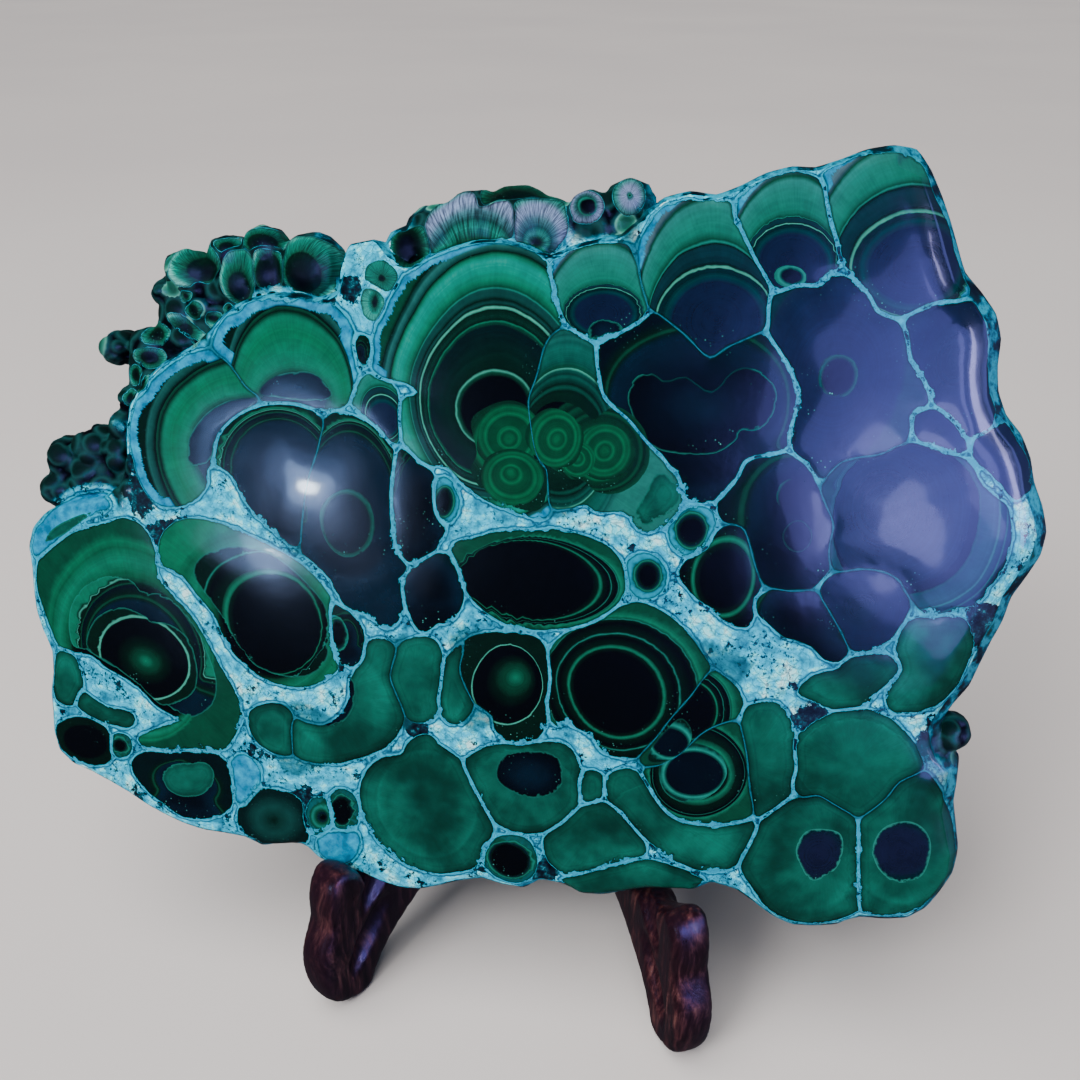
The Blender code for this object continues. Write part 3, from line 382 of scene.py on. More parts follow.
        (42.5, 19.5), (40.5, 18), (39.5, 19.5), (38.5, 24), (38, 29.5)],
        (38.5, 27.5), (2.5, 5), (39.5, 28), (6, 9), [(0, 0.2), (1, 0.8)]),
    "sheen_cell": nodule(PLAIN, 0.2, [
        (46.5, 27.5), (46, 31), (47, 33.5), (50, 36), (52.5, 37.5), (55.5, 38), (58.5, 37.5), (61, 36),
        (63.5, 33.5), (65, 30.5), (64.5, 29), (62, 27.5), (60.5, 24), (57, 20.5), (54.5, 21), (52, 22.5),
        (49.5, 23.5), (47, 22.5), (45.5, 24.5)],
        (55, 29), (4, 3.5), (55.5, 29), (10.5, 8.5), [(0, 0.2), (0.85, 0.6), (0.9, 0.9), (1, 1)]),
    "low_disc_left": nodule(PLAIN, 0.55, [
        (45.5, 21.5), (49, 22.5), (52, 21.5), (55, 20.5), (56.5, 18.5), (57.5, 12.5), (58, 5),
        (57.5, 2.5), (52.5, 0), (48, 0), (44.5, 2), (42, 5.5), (39.5, 9), (39.5, 12.5), (41, 17),
        (43, 19.5)], (51, 13), (5, 4.5), (49, 11.5), (10, 11), [(0, 0.3), (1, 0.95)]),
    "low_disc_right": nodule(PLAIN, 0.75, [
        (57, 19.5), (60.5, 23.5), (63, 26.5), (65.5, 28.5), (67.5, 27), (70, 23.5), (72, 19.5),
        (73, 14.5), (72, 10), (69.5, 6), (66, 3.5), (62, 2.5), (59.5, 3.5), (58.5, 9), (57.5, 14)],
        (64, 15), (5.5, 5.5), (65, 15.5), (9, 11.5), [(0, 0.3), (1, 0.95)]),
    "sheen_tail": nodule(PLAIN, 0.3, [
        (60, 52.5), (62.5, 54), (65.5, 55), (67.5, 53.5), (69.5, 50.5), (69.5, 47.5), (68.5, 44),
        (66.5, 41.5), (63, 40.5), (60, 40), (59, 42), (60, 45.5), (59.5, 48.5)],
        (65, 47.5), (1.5, 2), (65, 47.5), (6, 7.5), [(0, 0.2), (1, 0.85)]),
    "sea_green": nodule(PLAIN, 0.8, [
        (45.5, 40.5), (47, 42.5), (49, 43.5), (50.5, 44), (52.5, 46.5), (55, 47.5), (58.5, 47),
        (59.5, 46), (58, 44.5), (56, 42.5), (55, 40.5), (52.5, 39), (49.5, 39), (47, 40)]),
    "low_great": nodule(PLAIN, 0, [
        (-19, 22), (-17.5, 24.5), (-15, 26), (-13, 24.5), (-10.5, 23), (-8.5, 21.5), (-6.5, 17.5),
        (-4.5, 13.5), (-3.5, 9.5), (-4.5, 5.5), (-7, 3), (-10.5, 1.5), (-14, 1), (-18.5, 2), (-22, 4.5),
        (-24.5, 8), (-26, 12.5), (-25.5, 17), (-23, 20.5)],
        (-14.5, 14), (4, 5), (-14.5, 13.5), (9.5, 11), [(0, 0.1), (0.75, 0.62), (1, 0.95)]),
    "low_mid": nodule(PLAIN, 0.35, [
        (-8, 22), (-6, 24), (-3.5, 25.5), (2.5, 26.5), (7.5, 27), (10, 24.5), (11, 21.5), (11, 18),
        (9, 14.5), (6, 12), (2, 11), (-1.5, 12), (-3.5, 14), (-5.5, 17), (-7, 19.5)],
        (2.5, 21), (5.5, 4.5), (2, 18.5), (9, 7.5), [(0, 0.3), (1, 0.9)]),
    "pebble": nodule(PLAIN, 0.6, [
        (11.2, 21.6), (12.8, 23), (14.6, 22.4), (15.2, 20), (13.6, 18.2), (11.6, 18.4)]),
    "low_leaf": nodule(PLAIN, 0.15, [
        (6.5, 10), (9, 13), (11.5, 16), (14.5, 18), (17.5, 17.5), (19.5, 15), (21.5, 12), (22, 9.5),
        (19.5, 7.5), (16.5, 6), (13, 4.5), (10, 4.5), (7.5, 6), (6.5, 8)],
        (14.5, 13), (2.5, 1.5), (14, 11.5), (7.5, 6), [(0, 0.3), (1, 0.85)]),
    "low_right": nodule(PLAIN, 0.45, [
        (16, 22), (18.5, 24), (21, 23.5), (23, 21.5), (25.5, 18), (29, 16), (34, 15.5), (39, 16.5),
        (40, 15.5), (39, 12.5), (36, 9), (32, 8.5), (30, 9), (27, 10), (24.5, 12), (21.5, 14), (19, 16.5),
        (16.5, 18.5)], (21, 20), (1.5, 1.5), (28, 15.5), (11.5, 8), [(0, 0.3), (1, 0.9)]),
    "bottom_lens": nodule(PLAIN, 0.25, [
        (8, 0), (12, 3.5), (17, 6), (22, 7.5), (27, 7), (32, 5.5), (31, 3.5), (24, 2), (17.5, 1),
        (11.5, -0.5)]),
    "blue_hole": nodule(OVAL, 0.55, [
        (-4.2, 4.6), (-3.4, 7.2), (-0.8, 8.6), (2.2, 8.6), (3.8, 6), (3.4, 3.2), (1.2, 1.6), (-2, 2.2)],
        (0, 5), (2.5, 2.5), (0, 5), (4, 3.5), [(0, 0.3), (0.3, 0.6), (1, 0.9)]),
    "west_dark": nodule(OVAL, 0.65, [
        (-84, 18.4), (-80.6, 20.8), (-76.8, 20.6), (-74.2, 18.4), (-74.2, 14.8), (-77.2, 13.4),
        (-81, 14.2), (-83.6, 15.8)],
        (-78.5, 17), (2.5, 1.5), (-78.5, 17), (4.5, 3.5), [(0, 0.3), (1, 0.62)]),
    "west_pit": nodule(OVAL, 0.2, [
        (-73.2, 17.2), (-72.4, 18.6), (-70.8, 18.6), (-70.4, 17.2), (-71.4, 15.8), (-73, 15.8)]),
    "south_dark": nodule(NAVY, 0.7, [
        (-69, 13.5), (-67, 16), (-62.5, 17), (-56.5, 18), (-53, 17.5), (-51, 15), (-51, 11), (-52, 8),
        (-55.5, 6), (-60, 5.5), (-63.5, 7.5), (-67, 10)],
        (-59, 13), (4, 3), (-59.5, 11.5), (7.5, 5), [(0, 0.4), (1, 0.8)]),
    "blue_flake": nodule(BLUE, 0.3, [
        (-50, 15.8), (-48.4, 18), (-46, 16.8), (-46.2, 13.4), (-47.6, 9.8), (-49.2, 10.4)]),
    "ball_left": nodule(OVAL, 0.5, [
        (-36.8, 8.2), (-36, 10.4), (-34.4, 11.6), (-32.6, 10.8), (-32, 8.8), (-32.6, 6.4), (-34.8, 5.6),
        (-36.2, 6.4)], (-34, 8.5), (0.5, 0.5), (-34.5, 8.5), (2, 2.5), [(0, 0.7), (1, 0.9)]),
    "ball_right": nodule(OVAL, 0.5, [
        (-32.8, 9.6), (-32.2, 12.2), (-30.4, 13.6), (-28.6, 12.8), (-28, 10.2), (-28.6, 7.4),
        (-30.4, 6.2), (-32.2, 7.2)], (-30.5, 10), (1.5, 2), (-30.5, 10), (2, 3), [(0, 0.4), (1, 0.9)]),
    "ball_low": nodule(BLUE, 0.6, [
        (-34.2, 3.2), (-33.2, 5.4), (-30.6, 6.2), (-28.2, 5.6), (-27.8, 3.6), (-29.2, 1.2), (-31.8, 0.4),
        (-33.6, 1.6)]),
    "crust_low": nodule(CRUST, 0.4, [
        (-48.5, 8), (-46.5, 11.5), (-42.5, 12), (-39, 11), (-38, 8), (-37.5, 4), (-40, 2), (-44.5, 2),
        (-48, 4)]),
    "west_sliver": nodule(PLAIN, 0.4, [
        (-83.8, 31.8), (-81.8, 34.4), (-80, 32), (-79.6, 27.4), (-81.2, 25), (-83.4, 25.4), (-84.4, 28.4)]),
    "west_arc": nodule(PLAIN, 0.4, [
        (-79.2, 26.8), (-77.6, 25.4), (-74.4, 23.8), (-70, 23.2), (-70.6, 21.8), (-74.8, 22.2),
        (-77.8, 23.4), (-79.8, 25.2)]),
    "blue_drop": nodule(NAVY, 0.6, [
        (-28.2, 90.4), (-26.8, 91.2), (-26, 89.2), (-26.6, 86.6), (-27.8, 86.8)]),
    "black_side": nodule(NAVY, 0.85, [
        (-19, 53.5), (-15.5, 56.5), (-12.5, 57.5), (-11, 56), (-10.5, 52.5), (-11, 50), (-12.5, 48),
        (-14.5, 47.5), (-16.5, 46), (-18, 48.5), (-19, 50.5)],
        (-15, 52.5), (1.5, 1.5), (-15, 52.5), (4.5, 5), [(0, 0.1), (1, 0.62)]),
    "dome_one": nodule(DOME, 0.1, [
        (-60.6, 100.4), (-60.2, 102.8), (-58.4, 104.4), (-55.8, 104.8), (-53.2, 104), (-51.6, 102.6),
        (-52, 100.8), (-53, 99.4), (-54.4, 98.4), (-56.2, 98.6), (-57.8, 97.6), (-59.4, 98), (-60.6, 99)],
        (-54.5, 100), (1.5, 1), (-56, 101.5), (4.5, 3.5), [(0, 0.25), (1, 1)]),
    "dome_two": nodule(DOME, 0.3, [
        (-51.6, 100.8), (-51.2, 102.8), (-49.4, 104), (-47.4, 103.8), (-46.2, 102.6), (-45.8, 100.2),
        (-45.6, 98.4), (-46.4, 96.2), (-49, 95.6), (-50.8, 96.2), (-51.6, 98)],
        (-48.5, 97.5), (1, 1), (-48.5, 100), (3, 5), [(0, 0.25), (1, 1)]),
    "dome_three": nodule(DOME, 0.5, [
        (-49.2, 104.8), (-48.4, 106.6), (-45.8, 107.6), (-43.2, 107.4), (-41, 105.8), (-41, 103.8),
        (-42.6, 104.6), (-45, 104.6), (-46.6, 103.6), (-48, 104.2)],
        (-45, 105), (1.5, 1), (-45, 105.5), (4, 2.5), [(0, 0.25), (1, 1)]),
    "dome_four": nodule(DOME, 0.7, [
        (-46.4, 102.6), (-45.8, 104), (-43.8, 104.4), (-41.8, 104.2), (-41.2, 102.8), (-41.2, 100.6),
        (-41.8, 98.6), (-43.6, 97.6), (-45.2, 98.2), (-45.8, 100.2)],
        (-43.5, 100.5), (1.5, 2), (-43.5, 101), (2.5, 4), [(0, 0.2), (0.5, 0.5), (1, 1)]),
    "dome_five": nodule(DOME, 0.9, [
        (-41, 104.5), (-40.5, 106.5), (-37.5, 107), (-35, 106.5), (-32.5, 105), (-31.5, 102.5),
        (-32, 101.5), (-33, 101), (-33.5, 98.5), (-35.5, 97.5), (-37.5, 98), (-40, 98), (-41, 99.5),
        (-41, 102)],
        (-38, 100), (1, 1), (-37, 102.5), (5, 5.5), [(0, 0.05), (0.45, 0.42), (0.52, 0.6), (1, 1)]),
    "dome_six": nodule(DOME, 0.2, [
        (-53.4, 104.6), (-51.2, 105.4), (-49.2, 105.6), (-48.6, 104.2), (-50.6, 103.6), (-51.6, 102.6),
        (-52.8, 103.8)], (-51, 104), (0.5, 0.5), (-51, 104), (2.5, 1.5), [(0, 0.3), (1, 1)]),
    "dome_low": nodule(DOME, 0.6, [
        (-61.4, 93.6), (-59.6, 94), (-57.6, 92.4), (-55, 90.4), (-56, 89), (-57.4, 89.2), (-59, 90.8),
        (-60.8, 91.8)], (-59, 91.5), (0.5, 0.5), (-59, 91.5), (3, 2.5), [(0, 0.3), (1, 1)]),
    "bead_1": nodule(DOME, 0, [
        (-42, 97.6), (-42.4, 96.8), (-43.4, 96.6), (-44.2, 96.8), (-44.6, 97.6), (-44.2, 98.2),
        (-43.2, 98.6), (-42.4, 98.4)],
        (-43.5, 97.5), (0.5, 0), (-43.5, 97.5), (1.5, 1), [(0, 0.2), (1, 0.97)]),
    "bead_2": nodule(DOME, 0.17, [
        (-44.6, 97), (-45, 96.4), (-45.8, 96.2), (-46.4, 96.4), (-46.8, 97), (-46.4, 97.6), (-45.8, 97.8),
        (-45, 97.6)], (-45.5, 97), (0, 0), (-45.5, 97), (1, 1), [(0, 0.2), (1, 0.97)]),
    "bead_3": nodule(DOME, 0.34, [
        (-40, 97.4), (-40.4, 96.8), (-41, 96.6), (-41.8, 96.8), (-42, 97.4), (-41.8, 98), (-41, 98.2),
        (-40.4, 98)], (-41, 97.5), (0, 0), (-41, 97.5), (1, 1), [(0, 0.2), (1, 0.97)]),
    "bead_4": nodule(DOME, 0.51, [
        (-37.8, 97), (-38, 96.6), (-38.6, 96.2), (-39.4, 96.4), (-39.6, 97), (-39.4, 97.6), (-38.6, 97.8),
        (-38, 97.6)], (-38.5, 97), (0, 0), (-38.5, 97), (1, 1), [(0, 0.2), (1, 0.97)]),
    "bead_5": nodule(DOME, 0.68, [
        (-46.8, 95), (-47.2, 94.6), (-47.8, 94.2), (-48.6, 94.4), (-48.8, 95), (-48.4, 95.4),
        (-47.8, 95.6), (-47.2, 95.4)], (-48, 95), (0, 0), (-48, 95), (1, 0.5), [(0, 0.2), (1, 0.97)]),
    "bead_6": nodule(DOME, 0.85, [
        (-55, 94.6), (-55.6, 93.6), (-57, 93.2), (-58.4, 93.6), (-59, 94.4), (-58.4, 95.4), (-56.8, 95.8),
        (-55.4, 95.6)], (-57, 94.5), (0.5, 0.5), (-57, 94.5), (2, 1.5), [(0, 0.2), (1, 0.97)]),
    "bead_7": nodule(DOME, 0.02, [
        (-52.2, 93.4), (-52.8, 92.4), (-54, 92), (-55.2, 92.4), (-55.6, 93.2), (-55.2, 94), (-53.8, 94.4),
        (-52.6, 94.2)], (-54, 93.5), (0.5, 0), (-54, 93.5), (1.5, 1), [(0, 0.2), (1, 0.97)]),
    "bead_8": nodule(DOME, 0.19, [
        (-57.2, 96.4), (-57.6, 95.8), (-58.4, 95.4), (-59.4, 95.8), (-59.6, 96.4), (-59.2, 97),
        (-58.4, 97.4), (-57.6, 97.2)],
        (-58.5, 96.5), (0, 0), (-58.5, 96.5), (1, 1), [(0, 0.2), (1, 0.97)]),
    "bead_9": nodule(DOME, 0.36, [
        (-50, 94.8), (-50.4, 94.2), (-51.2, 93.8), (-51.8, 94), (-52.2, 94.8), (-51.8, 95.4), (-51, 95.8),
        (-50.4, 95.6)], (-51, 95), (0, 0), (-51, 95), (1, 1), [(0, 0.2), (1, 0.97)]),
    "bead_10": nodule(DOME, 0.53, [
        (-61.4, 90.6), (-62.2, 89.2), (-64, 88.6), (-65.8, 89), (-66.4, 90.4), (-65.6, 91.6),
        (-63.8, 92.4), (-62.2, 91.8)],
        (-64, 90.5), (0.5, 0.5), (-64, 90.5), (2.5, 2), [(0, 0.2), (1, 0.97)]),
    "bead_11": nodule(DOME, 0.7, [
        (-62.4, 86.8), (-63.2, 85.4), (-65.2, 84.6), (-67, 85.2), (-67.8, 86.4), (-66.8, 87.8),
        (-65, 88.4), (-63.2, 88)], (-65, 86.5), (0.5, 0.5), (-65, 86.5), (2.5, 2), [(0, 0.2), (1, 0.97)]),
    "bead_12": nodule(DOME, 0.87, [
        (-65.6, 83.4), (-66.2, 82.2), (-67.6, 81.4), (-68.8, 82), (-69.2, 83.2), (-68.6, 84.6),
        (-67.4, 85.2), (-66, 84.8)],
        (-67.5, 83.5), (0.5, 0.5), (-67.5, 83.5), (1.5, 2), [(0, 0.2), (1, 0.97)]),
    "bead_13": nodule(DOME, 0.04, [
        (-63.8, 82.4), (-64.2, 81.2), (-65.4, 80.6), (-66.6, 81), (-67, 82.2), (-66.4, 83.4),
        (-65.2, 83.8), (-64.2, 83.4)],
        (-65.5, 82), (0.5, 0.5), (-65.5, 82), (1.5, 1.5), [(0, 0.2), (1, 0.97)]),
    "bead_14": nodule(DOME, 0.21, [
        (-67.2, 79.8), (-67.6, 78.6), (-68.4, 78.2), (-69.2, 78.6), (-69.6, 79.6), (-69.2, 80.6),
        (-68.4, 81.2), (-67.4, 80.8)],
        (-68.5, 79.5), (0, 0.5), (-68.5, 79.5), (1, 1.5), [(0, 0.2), (1, 0.97)]),
    "bump_lens": nodule(BUMP, 0.1, [
        (-24, 107.4), (-22.4, 108.2), (-19.4, 109), (-18.2, 107.8), (-17.8, 105), (-18.4, 103.6),
        (-21, 102.6), (-23.2, 104.2)], (-21.5, 106), (1, 1.5), (-21, 106), (3.5, 4), [(0, 0), (1, 0.35)]),
    "bump_main": nodule(BUMP, 0.4, [
        (-18.5, 109.5), (-17.5, 112.5), (-15, 114), (-12.5, 114.5), (-11, 113.5), (-10, 112), (-7.5, 113),
        (-5, 113), (-4.5, 110.5), (-4.5, 107.5), (-9, 107), (-13, 106), (-17, 104.5), (-18, 107)],
        (-10, 100.5), (6.5, 7), (-10.5, 102), (11.5, 14), [(0, 0.2), (0.3, 0.4), (1, 1)]),
    "bump_right": nodule(BUMP, 0.7, [
        (-4.5, 113), (-0.5, 114), (2.5, 114), (3.5, 112.5), (4, 110), (3.5, 108), (1.5, 106),
        (-0.5, 106.5), (-3, 107), (-4, 107), (-4, 111)],
        (-0.5, 107.5), (1.5, 1), (-0.5, 108.5), (5.5, 6), [(0, 0.3), (0.3, 0.5), (1, 1)]),
    "bump_top": nodule(BUMP, 0.2, [
        (-10.5, 114.5), (-10, 116), (-6.5, 116.5), (-2.5, 116.5), (1, 116), (3, 114.5), (-0.5, 114),
        (-4.5, 113), (-7.5, 113), (-9.5, 112.5)],
        (-4.5, 113), (3.5, 1.5), (-4.5, 113), (8, 4), [(0, 0.1), (1, 0.35)]),
    "ball_near": nodule(BUMP, 0.3, [
        (9.2, 113), (8.6, 111.2), (6.8, 110.4), (4.8, 111), (4, 112.8), (4.6, 114.6), (6.4, 115.4),
        (8.4, 114.6)], (6.5, 113), (0.5, 0.5), (6.5, 113), (3, 3), [(0, 0.2), (1, 0.9)]),
    "ball_far": nodule(BUMP, 0.8, [
        (15.2, 114.6), (14.6, 112.6), (13, 111.6), (11.4, 112.4), (10.4, 114.4), (11, 116.4),
        (12.6, 117.4), (14.4, 116.6)],
        (13, 114.5), (0.5, 0.5), (13, 114.5), (2.5, 3.5), [(0, 0.7), (1, 1)]),
    "cleft_ball": nodule(DOME, 0.4, [
        (-22.4, 101.2), (-23, 99.8), (-24.2, 99.2), (-25.6, 99.6), (-26.2, 101), (-25.8, 102.4),
        (-24.4, 103), (-23, 102.6)],
        (-24.5, 101), (0.5, 0.5), (-24.5, 101), (2, 2), [(0, 0.6), (1, 0.8)]),
    "cleft_bead": nodule(DOME, 0.2, [
        (-24.4, 97.6), (-24.8, 96.2), (-25.6, 95.4), (-26.4, 96), (-26.8, 97.4), (-26.4, 99),
        (-25.6, 99.6), (-24.8, 99)],
        (-25.5, 97.5), (0, 0.5), (-25.5, 97.5), (1, 2), [(0, 0.3), (1, 0.9)]),
}

# Inside those.
INNER = {
    "top_fan_lens": nodule(CORE, 0, [
        (-44, 82), (-43.5, 83.5), (-41, 85), (-38, 85.5), (-35, 85.5), (-32.5, 84), (-31.5, 82),
        (-32.5, 81), (-37, 81), (-41, 81.5)],
        (-37.5, 83), (1, 0.5), (-37.5, 83), (6.5, 3.5), [(0, 0), (1, 0.55)]),
    "left_fan_core": nodule(CORE, 0.3, [
        (-56.5, 70), (-56.5, 73.5), (-54.5, 77), (-52, 79.5), (-49, 81), (-45, 81.5), (-44.5, 81),
        (-47.5, 78.5), (-50, 76.5), (-51.5, 74), (-52.5, 71), (-54.5, 70)],
        (-51, 75.5), (1, 1), (-51, 75.5), (8, 8), [(0, 0), (1, 0.5)]),
    "drop_eye": nodule(HALO, 0, [
        (-24, 61.5), (-25, 58.5), (-27.5, 56.5), (-30.5, 56.5), (-33, 59), (-34, 63), (-32.5, 66),
        (-29, 68), (-26, 67), (-24.5, 64.5)],
        (-29, 62), (1.5, 2), (-29, 62), (5, 6), [(0, 0), (1, 0.97)]),
    "great_eye": nodule(EYE, 0, [
        (-9, 80), (-6.5, 82.5), (-3, 83.5), (0, 82), (1.5, 78), (1, 75), (3, 73), (3.5, 69), (2, 66),
        (-2.5, 66.5), (-6.5, 68.5), (-9, 72), (-8, 75)],
        (-3, 77), (0.5, 0.5), (-3, 76.5), (7, 7), [(0, 0), (1, 0.62)]),
    "wedge_eyes": nodule(EYE, 0.7, [
        (0.5, 79), (1, 82), (3.5, 83.5), (7, 83), (9.5, 81.5), (12.5, 83.5), (15.5, 82.5), (18, 80),
        (19, 76), (17.5, 72.5), (14.5, 70.5), (11.5, 70.5), (9.5, 72), (7.5, 72), (5, 73), (2.5, 74.5)],
        (11.5, 76.5), (4.5, 4.5), (11, 77), (10, 8.5), [(0, 0.5), (1, 0.99)]),
    "wedge_corner": nodule(PLAIN, 0.2, [
        (19, 70.8), (20.4, 74.4), (22.4, 73.8), (24, 71.8), (23.6, 69.2), (21.6, 67.2), (19, 65.8),
        (17.8, 67.8)]),
    "ring_fan_eye": nodule(RINGLET, 0.65, [
        (40.2, 104), (39.6, 102.8), (38, 102.2), (36.2, 102.6), (35.4, 103.8), (36, 105), (37.6, 105.6),
        (39.4, 105.2)], (38, 104), (1, 0.5), (38, 104), (2.5, 2), [(0, 0.5), (1, 1)]),
    "middle_lilac_eye": nodule(HALO, 0.1, [
        (42.6, 89.2), (42.8, 91.4), (44.4, 92.6), (46.8, 92.4), (48.2, 90.8), (48.2, 88.4), (47, 86.8),
        (44.8, 86.8), (43.2, 87.6)],
        (45.5, 89.5), (1.5, 1.5), (45.5, 89.5), (3, 3.5), [(0, 0.4), (1, 1)]),
    "net_eye": nodule(HALO, 0.45, [
        (37.8, 70.6), (38.2, 73), (40.2, 74.2), (41.8, 73.4), (42.2, 70.2), (44, 69.6), (41.6, 68.6),
        (39.2, 69)], (41.5, 71), (1.5, 1.5), (41.5, 71), (4, 4), [(0, 0), (1, 0.97)]),
    "net_eye_low": nodule(OVAL, 0.75, [
        (39.4, 65.4), (40.2, 67.2), (42, 67.8), (43.8, 66.4), (44, 64.6), (42.6, 63.2), (40.6, 63.6)],
        (41.5, 65.5), (1, 1), (41.5, 65.5), (2.5, 2.5), [(0, 0), (1, 0.5)]),
    "dark_heart_core": nodule(CORE, 0.05, [
        (28.5, 88), (29.5, 89.5), (31.5, 90.5), (34, 90), (36, 88.5), (37, 86.5), (36.5, 83.5),
        (34.5, 81.5), (32, 81.5), (31.5, 80), (29, 78), (26.5, 77.5), (23, 77.5), (20, 78), (17, 79.5),
        (15.5, 82.5), (14.5, 85), (15.5, 88), (18, 89), (20, 88), (21.5, 88.5), (23, 89), (25, 88),
        (27, 87)]),
    "left_dark": nodule(NAVY, 0.5, [
        (-80, 36), (-80, 41.5), (-78, 45.5), (-75, 48), (-71.5, 49), (-67.5, 48.5), (-65, 46.5),
        (-62, 46.5), (-59, 45), (-56, 41.5), (-54, 37), (-52.5, 32), (-53, 28), (-55.5, 25.5),
        (-58.5, 24.5), (-62, 26), (-66, 28.5), (-69.5, 31), (-73.5, 33), (-77, 35)],
        (-67.5, 35), (8, 7.5), (-66.5, 36), (12, 13), [(0, 0.4), (1, 0.97)]),
    "blue_crescent_lens": nodule(PLAIN, 0.6, [
        (-84.2, 54), (-82.8, 56.2), (-79.2, 58.2), (-74.4, 59.8), (-76.6, 58), (-80.6, 55.6)]),
    "olive_core": nodule(DISC, 0.2, [
        (-55.5, 50), (-55, 53), (-53, 55), (-49.5, 56.5), (-46, 56.5), (-42, 55.5), (-38, 53),
        (-34.5, 50), (-32.5, 47), (-32, 41), (-33, 37), (-36.5, 34.5), (-41, 34.5), (-45.5, 36),
        (-48, 38.5), (-50, 41.5), (-52, 45)],
        (-41, 43), (7, 7.5), (-43.5, 45), (11, 11.5), [(0, 0.4), (0.35, 0.62), (1, 0.82)]),
    "teardrop": nodule(OVAL, 0.3, [
        (-32.2, 45.4), (-31, 46.6), (-29.4, 45.2), (-28.6, 42.6), (-29.6, 40), (-31, 39.8), (-31.6, 42.6)],
        (-30.5, 43), (0.5, 1.5), (-30.5, 43), (1.5, 3.5), [(0, 0.3), (1, 0.95)]),
    "hook_navy": nodule(CORE, 0.6, [
        (-38, 29.5), (-35, 31), (-31, 33.5), (-29, 35.5), (-27.5, 34), (-27.5, 30.5), (-29, 27.5),
        (-31.5, 25.5), (-33.5, 26), (-35, 26), (-37, 27.5)],
        (-31.5, 30), (1.5, 1.5), (-31.5, 30), (4.5, 4.5), [(0, 0.2), (1, 0.62)]),
    "loop": nodule(RINGLET, 0.85, [
        (22, 27.2), (23, 29.8), (25, 32.8), (26.8, 34.6), (28.4, 33.6), (29, 31.4), (28, 29), (25.8, 27),
        (23.2, 26.2)], (25.5, 30), (2.5, 2), (25.5, 30.5), (4, 3.5), [(0, 0.5), (1, 1)]),
    "ring_disc": nodule(RINGLET, 0.35, [
        (24.5, 24), (24.5, 27), (26.5, 29), (29, 30.5), (32, 30), (34, 28.5), (35, 25.5), (34, 22.5),
        (32, 20.5), (29, 19.5), (26, 21)], (30, 25), (4, 3.5), (30, 25), (5.5, 5), [(0, 0.5), (1, 1)]),
    "low_disc_left_core": nodule(SPOT, 0.2, [
        (47.2, 12.4), (47.4, 15), (48.6, 16.6), (51.2, 17.2), (53.8, 16.8), (54.8, 14.4), (54.6, 11),
        (53, 8.8), (50.6, 7.8), (49, 9.4)],
        (51, 12.5), (3, 3), (51, 12.5), (4, 4.5), [(0, 0.2), (0.35, 0.4), (1, 0.97)]),
    "low_disc_right_core": nodule(SPOT, 0.05, [
        (59.5, 14.5), (60, 17.5), (61.5, 19.5), (64.5, 20.5), (67, 19.5), (68.5, 17), (68.5, 13.5),
        (67.5, 10.5), (64.5, 9), (62, 10), (60.5, 12)],
        (64, 15), (3.5, 3.5), (64, 15), (5, 5), [(0, 0.1), (0.3, 0.2), (1, 1)]),
    "low_mid_core": nodule(CORE, 0.5, [
        (-3, 21), (-2.5, 23.5), (-0.5, 25.5), (3, 26), (6.5, 26), (8, 23.5), (8, 20), (6, 18), (2.5, 17),
        (-0.5, 18), (-2.5, 19.5)], (2.5, 21.5), (3, 2.5), (2.5, 21.5), (5.5, 4), [(0, 0.3), (1, 0.81)]),
    "south_green": nodule(PLAIN, 0.7, [
        (-64, 12.4), (-62.6, 15), (-58.6, 16.4), (-54.8, 16.6), (-53.8, 14), (-55.6, 10.8), (-59.4, 9.2),
        (-62.8, 10)], (-58.5, 13), (1, 0.5), (-58.5, 13), (4.5, 3), [(0, 0.5), (1, 0.2)]),
    "ball_near_eye": nodule(OVAL, 0.3, [
        (8.2, 112.8), (8, 111.8), (6.8, 111.4), (5.8, 111.8), (5.4, 112.8), (5.8, 113.6), (6.8, 114),
        (7.8, 113.8)], (7, 113), (0.5, 0.5), (7, 113), (1.5, 1.5), [(0, 0.3), (1, 0.8)]),
    "small_fan_eye": nodule(CORE, 0.2, [
        (8.4, 93.6), (8.6, 95.4), (9.8, 96.6), (11.2, 96.6), (12.8, 96.2), (13.6, 95), (11.8, 94.4),
        (10, 93.6)], (11, 94.5), (0.5, 0.5), (11, 94.5), (2.5, 2.5), [(0, 0), (1, 0.6)]),
}

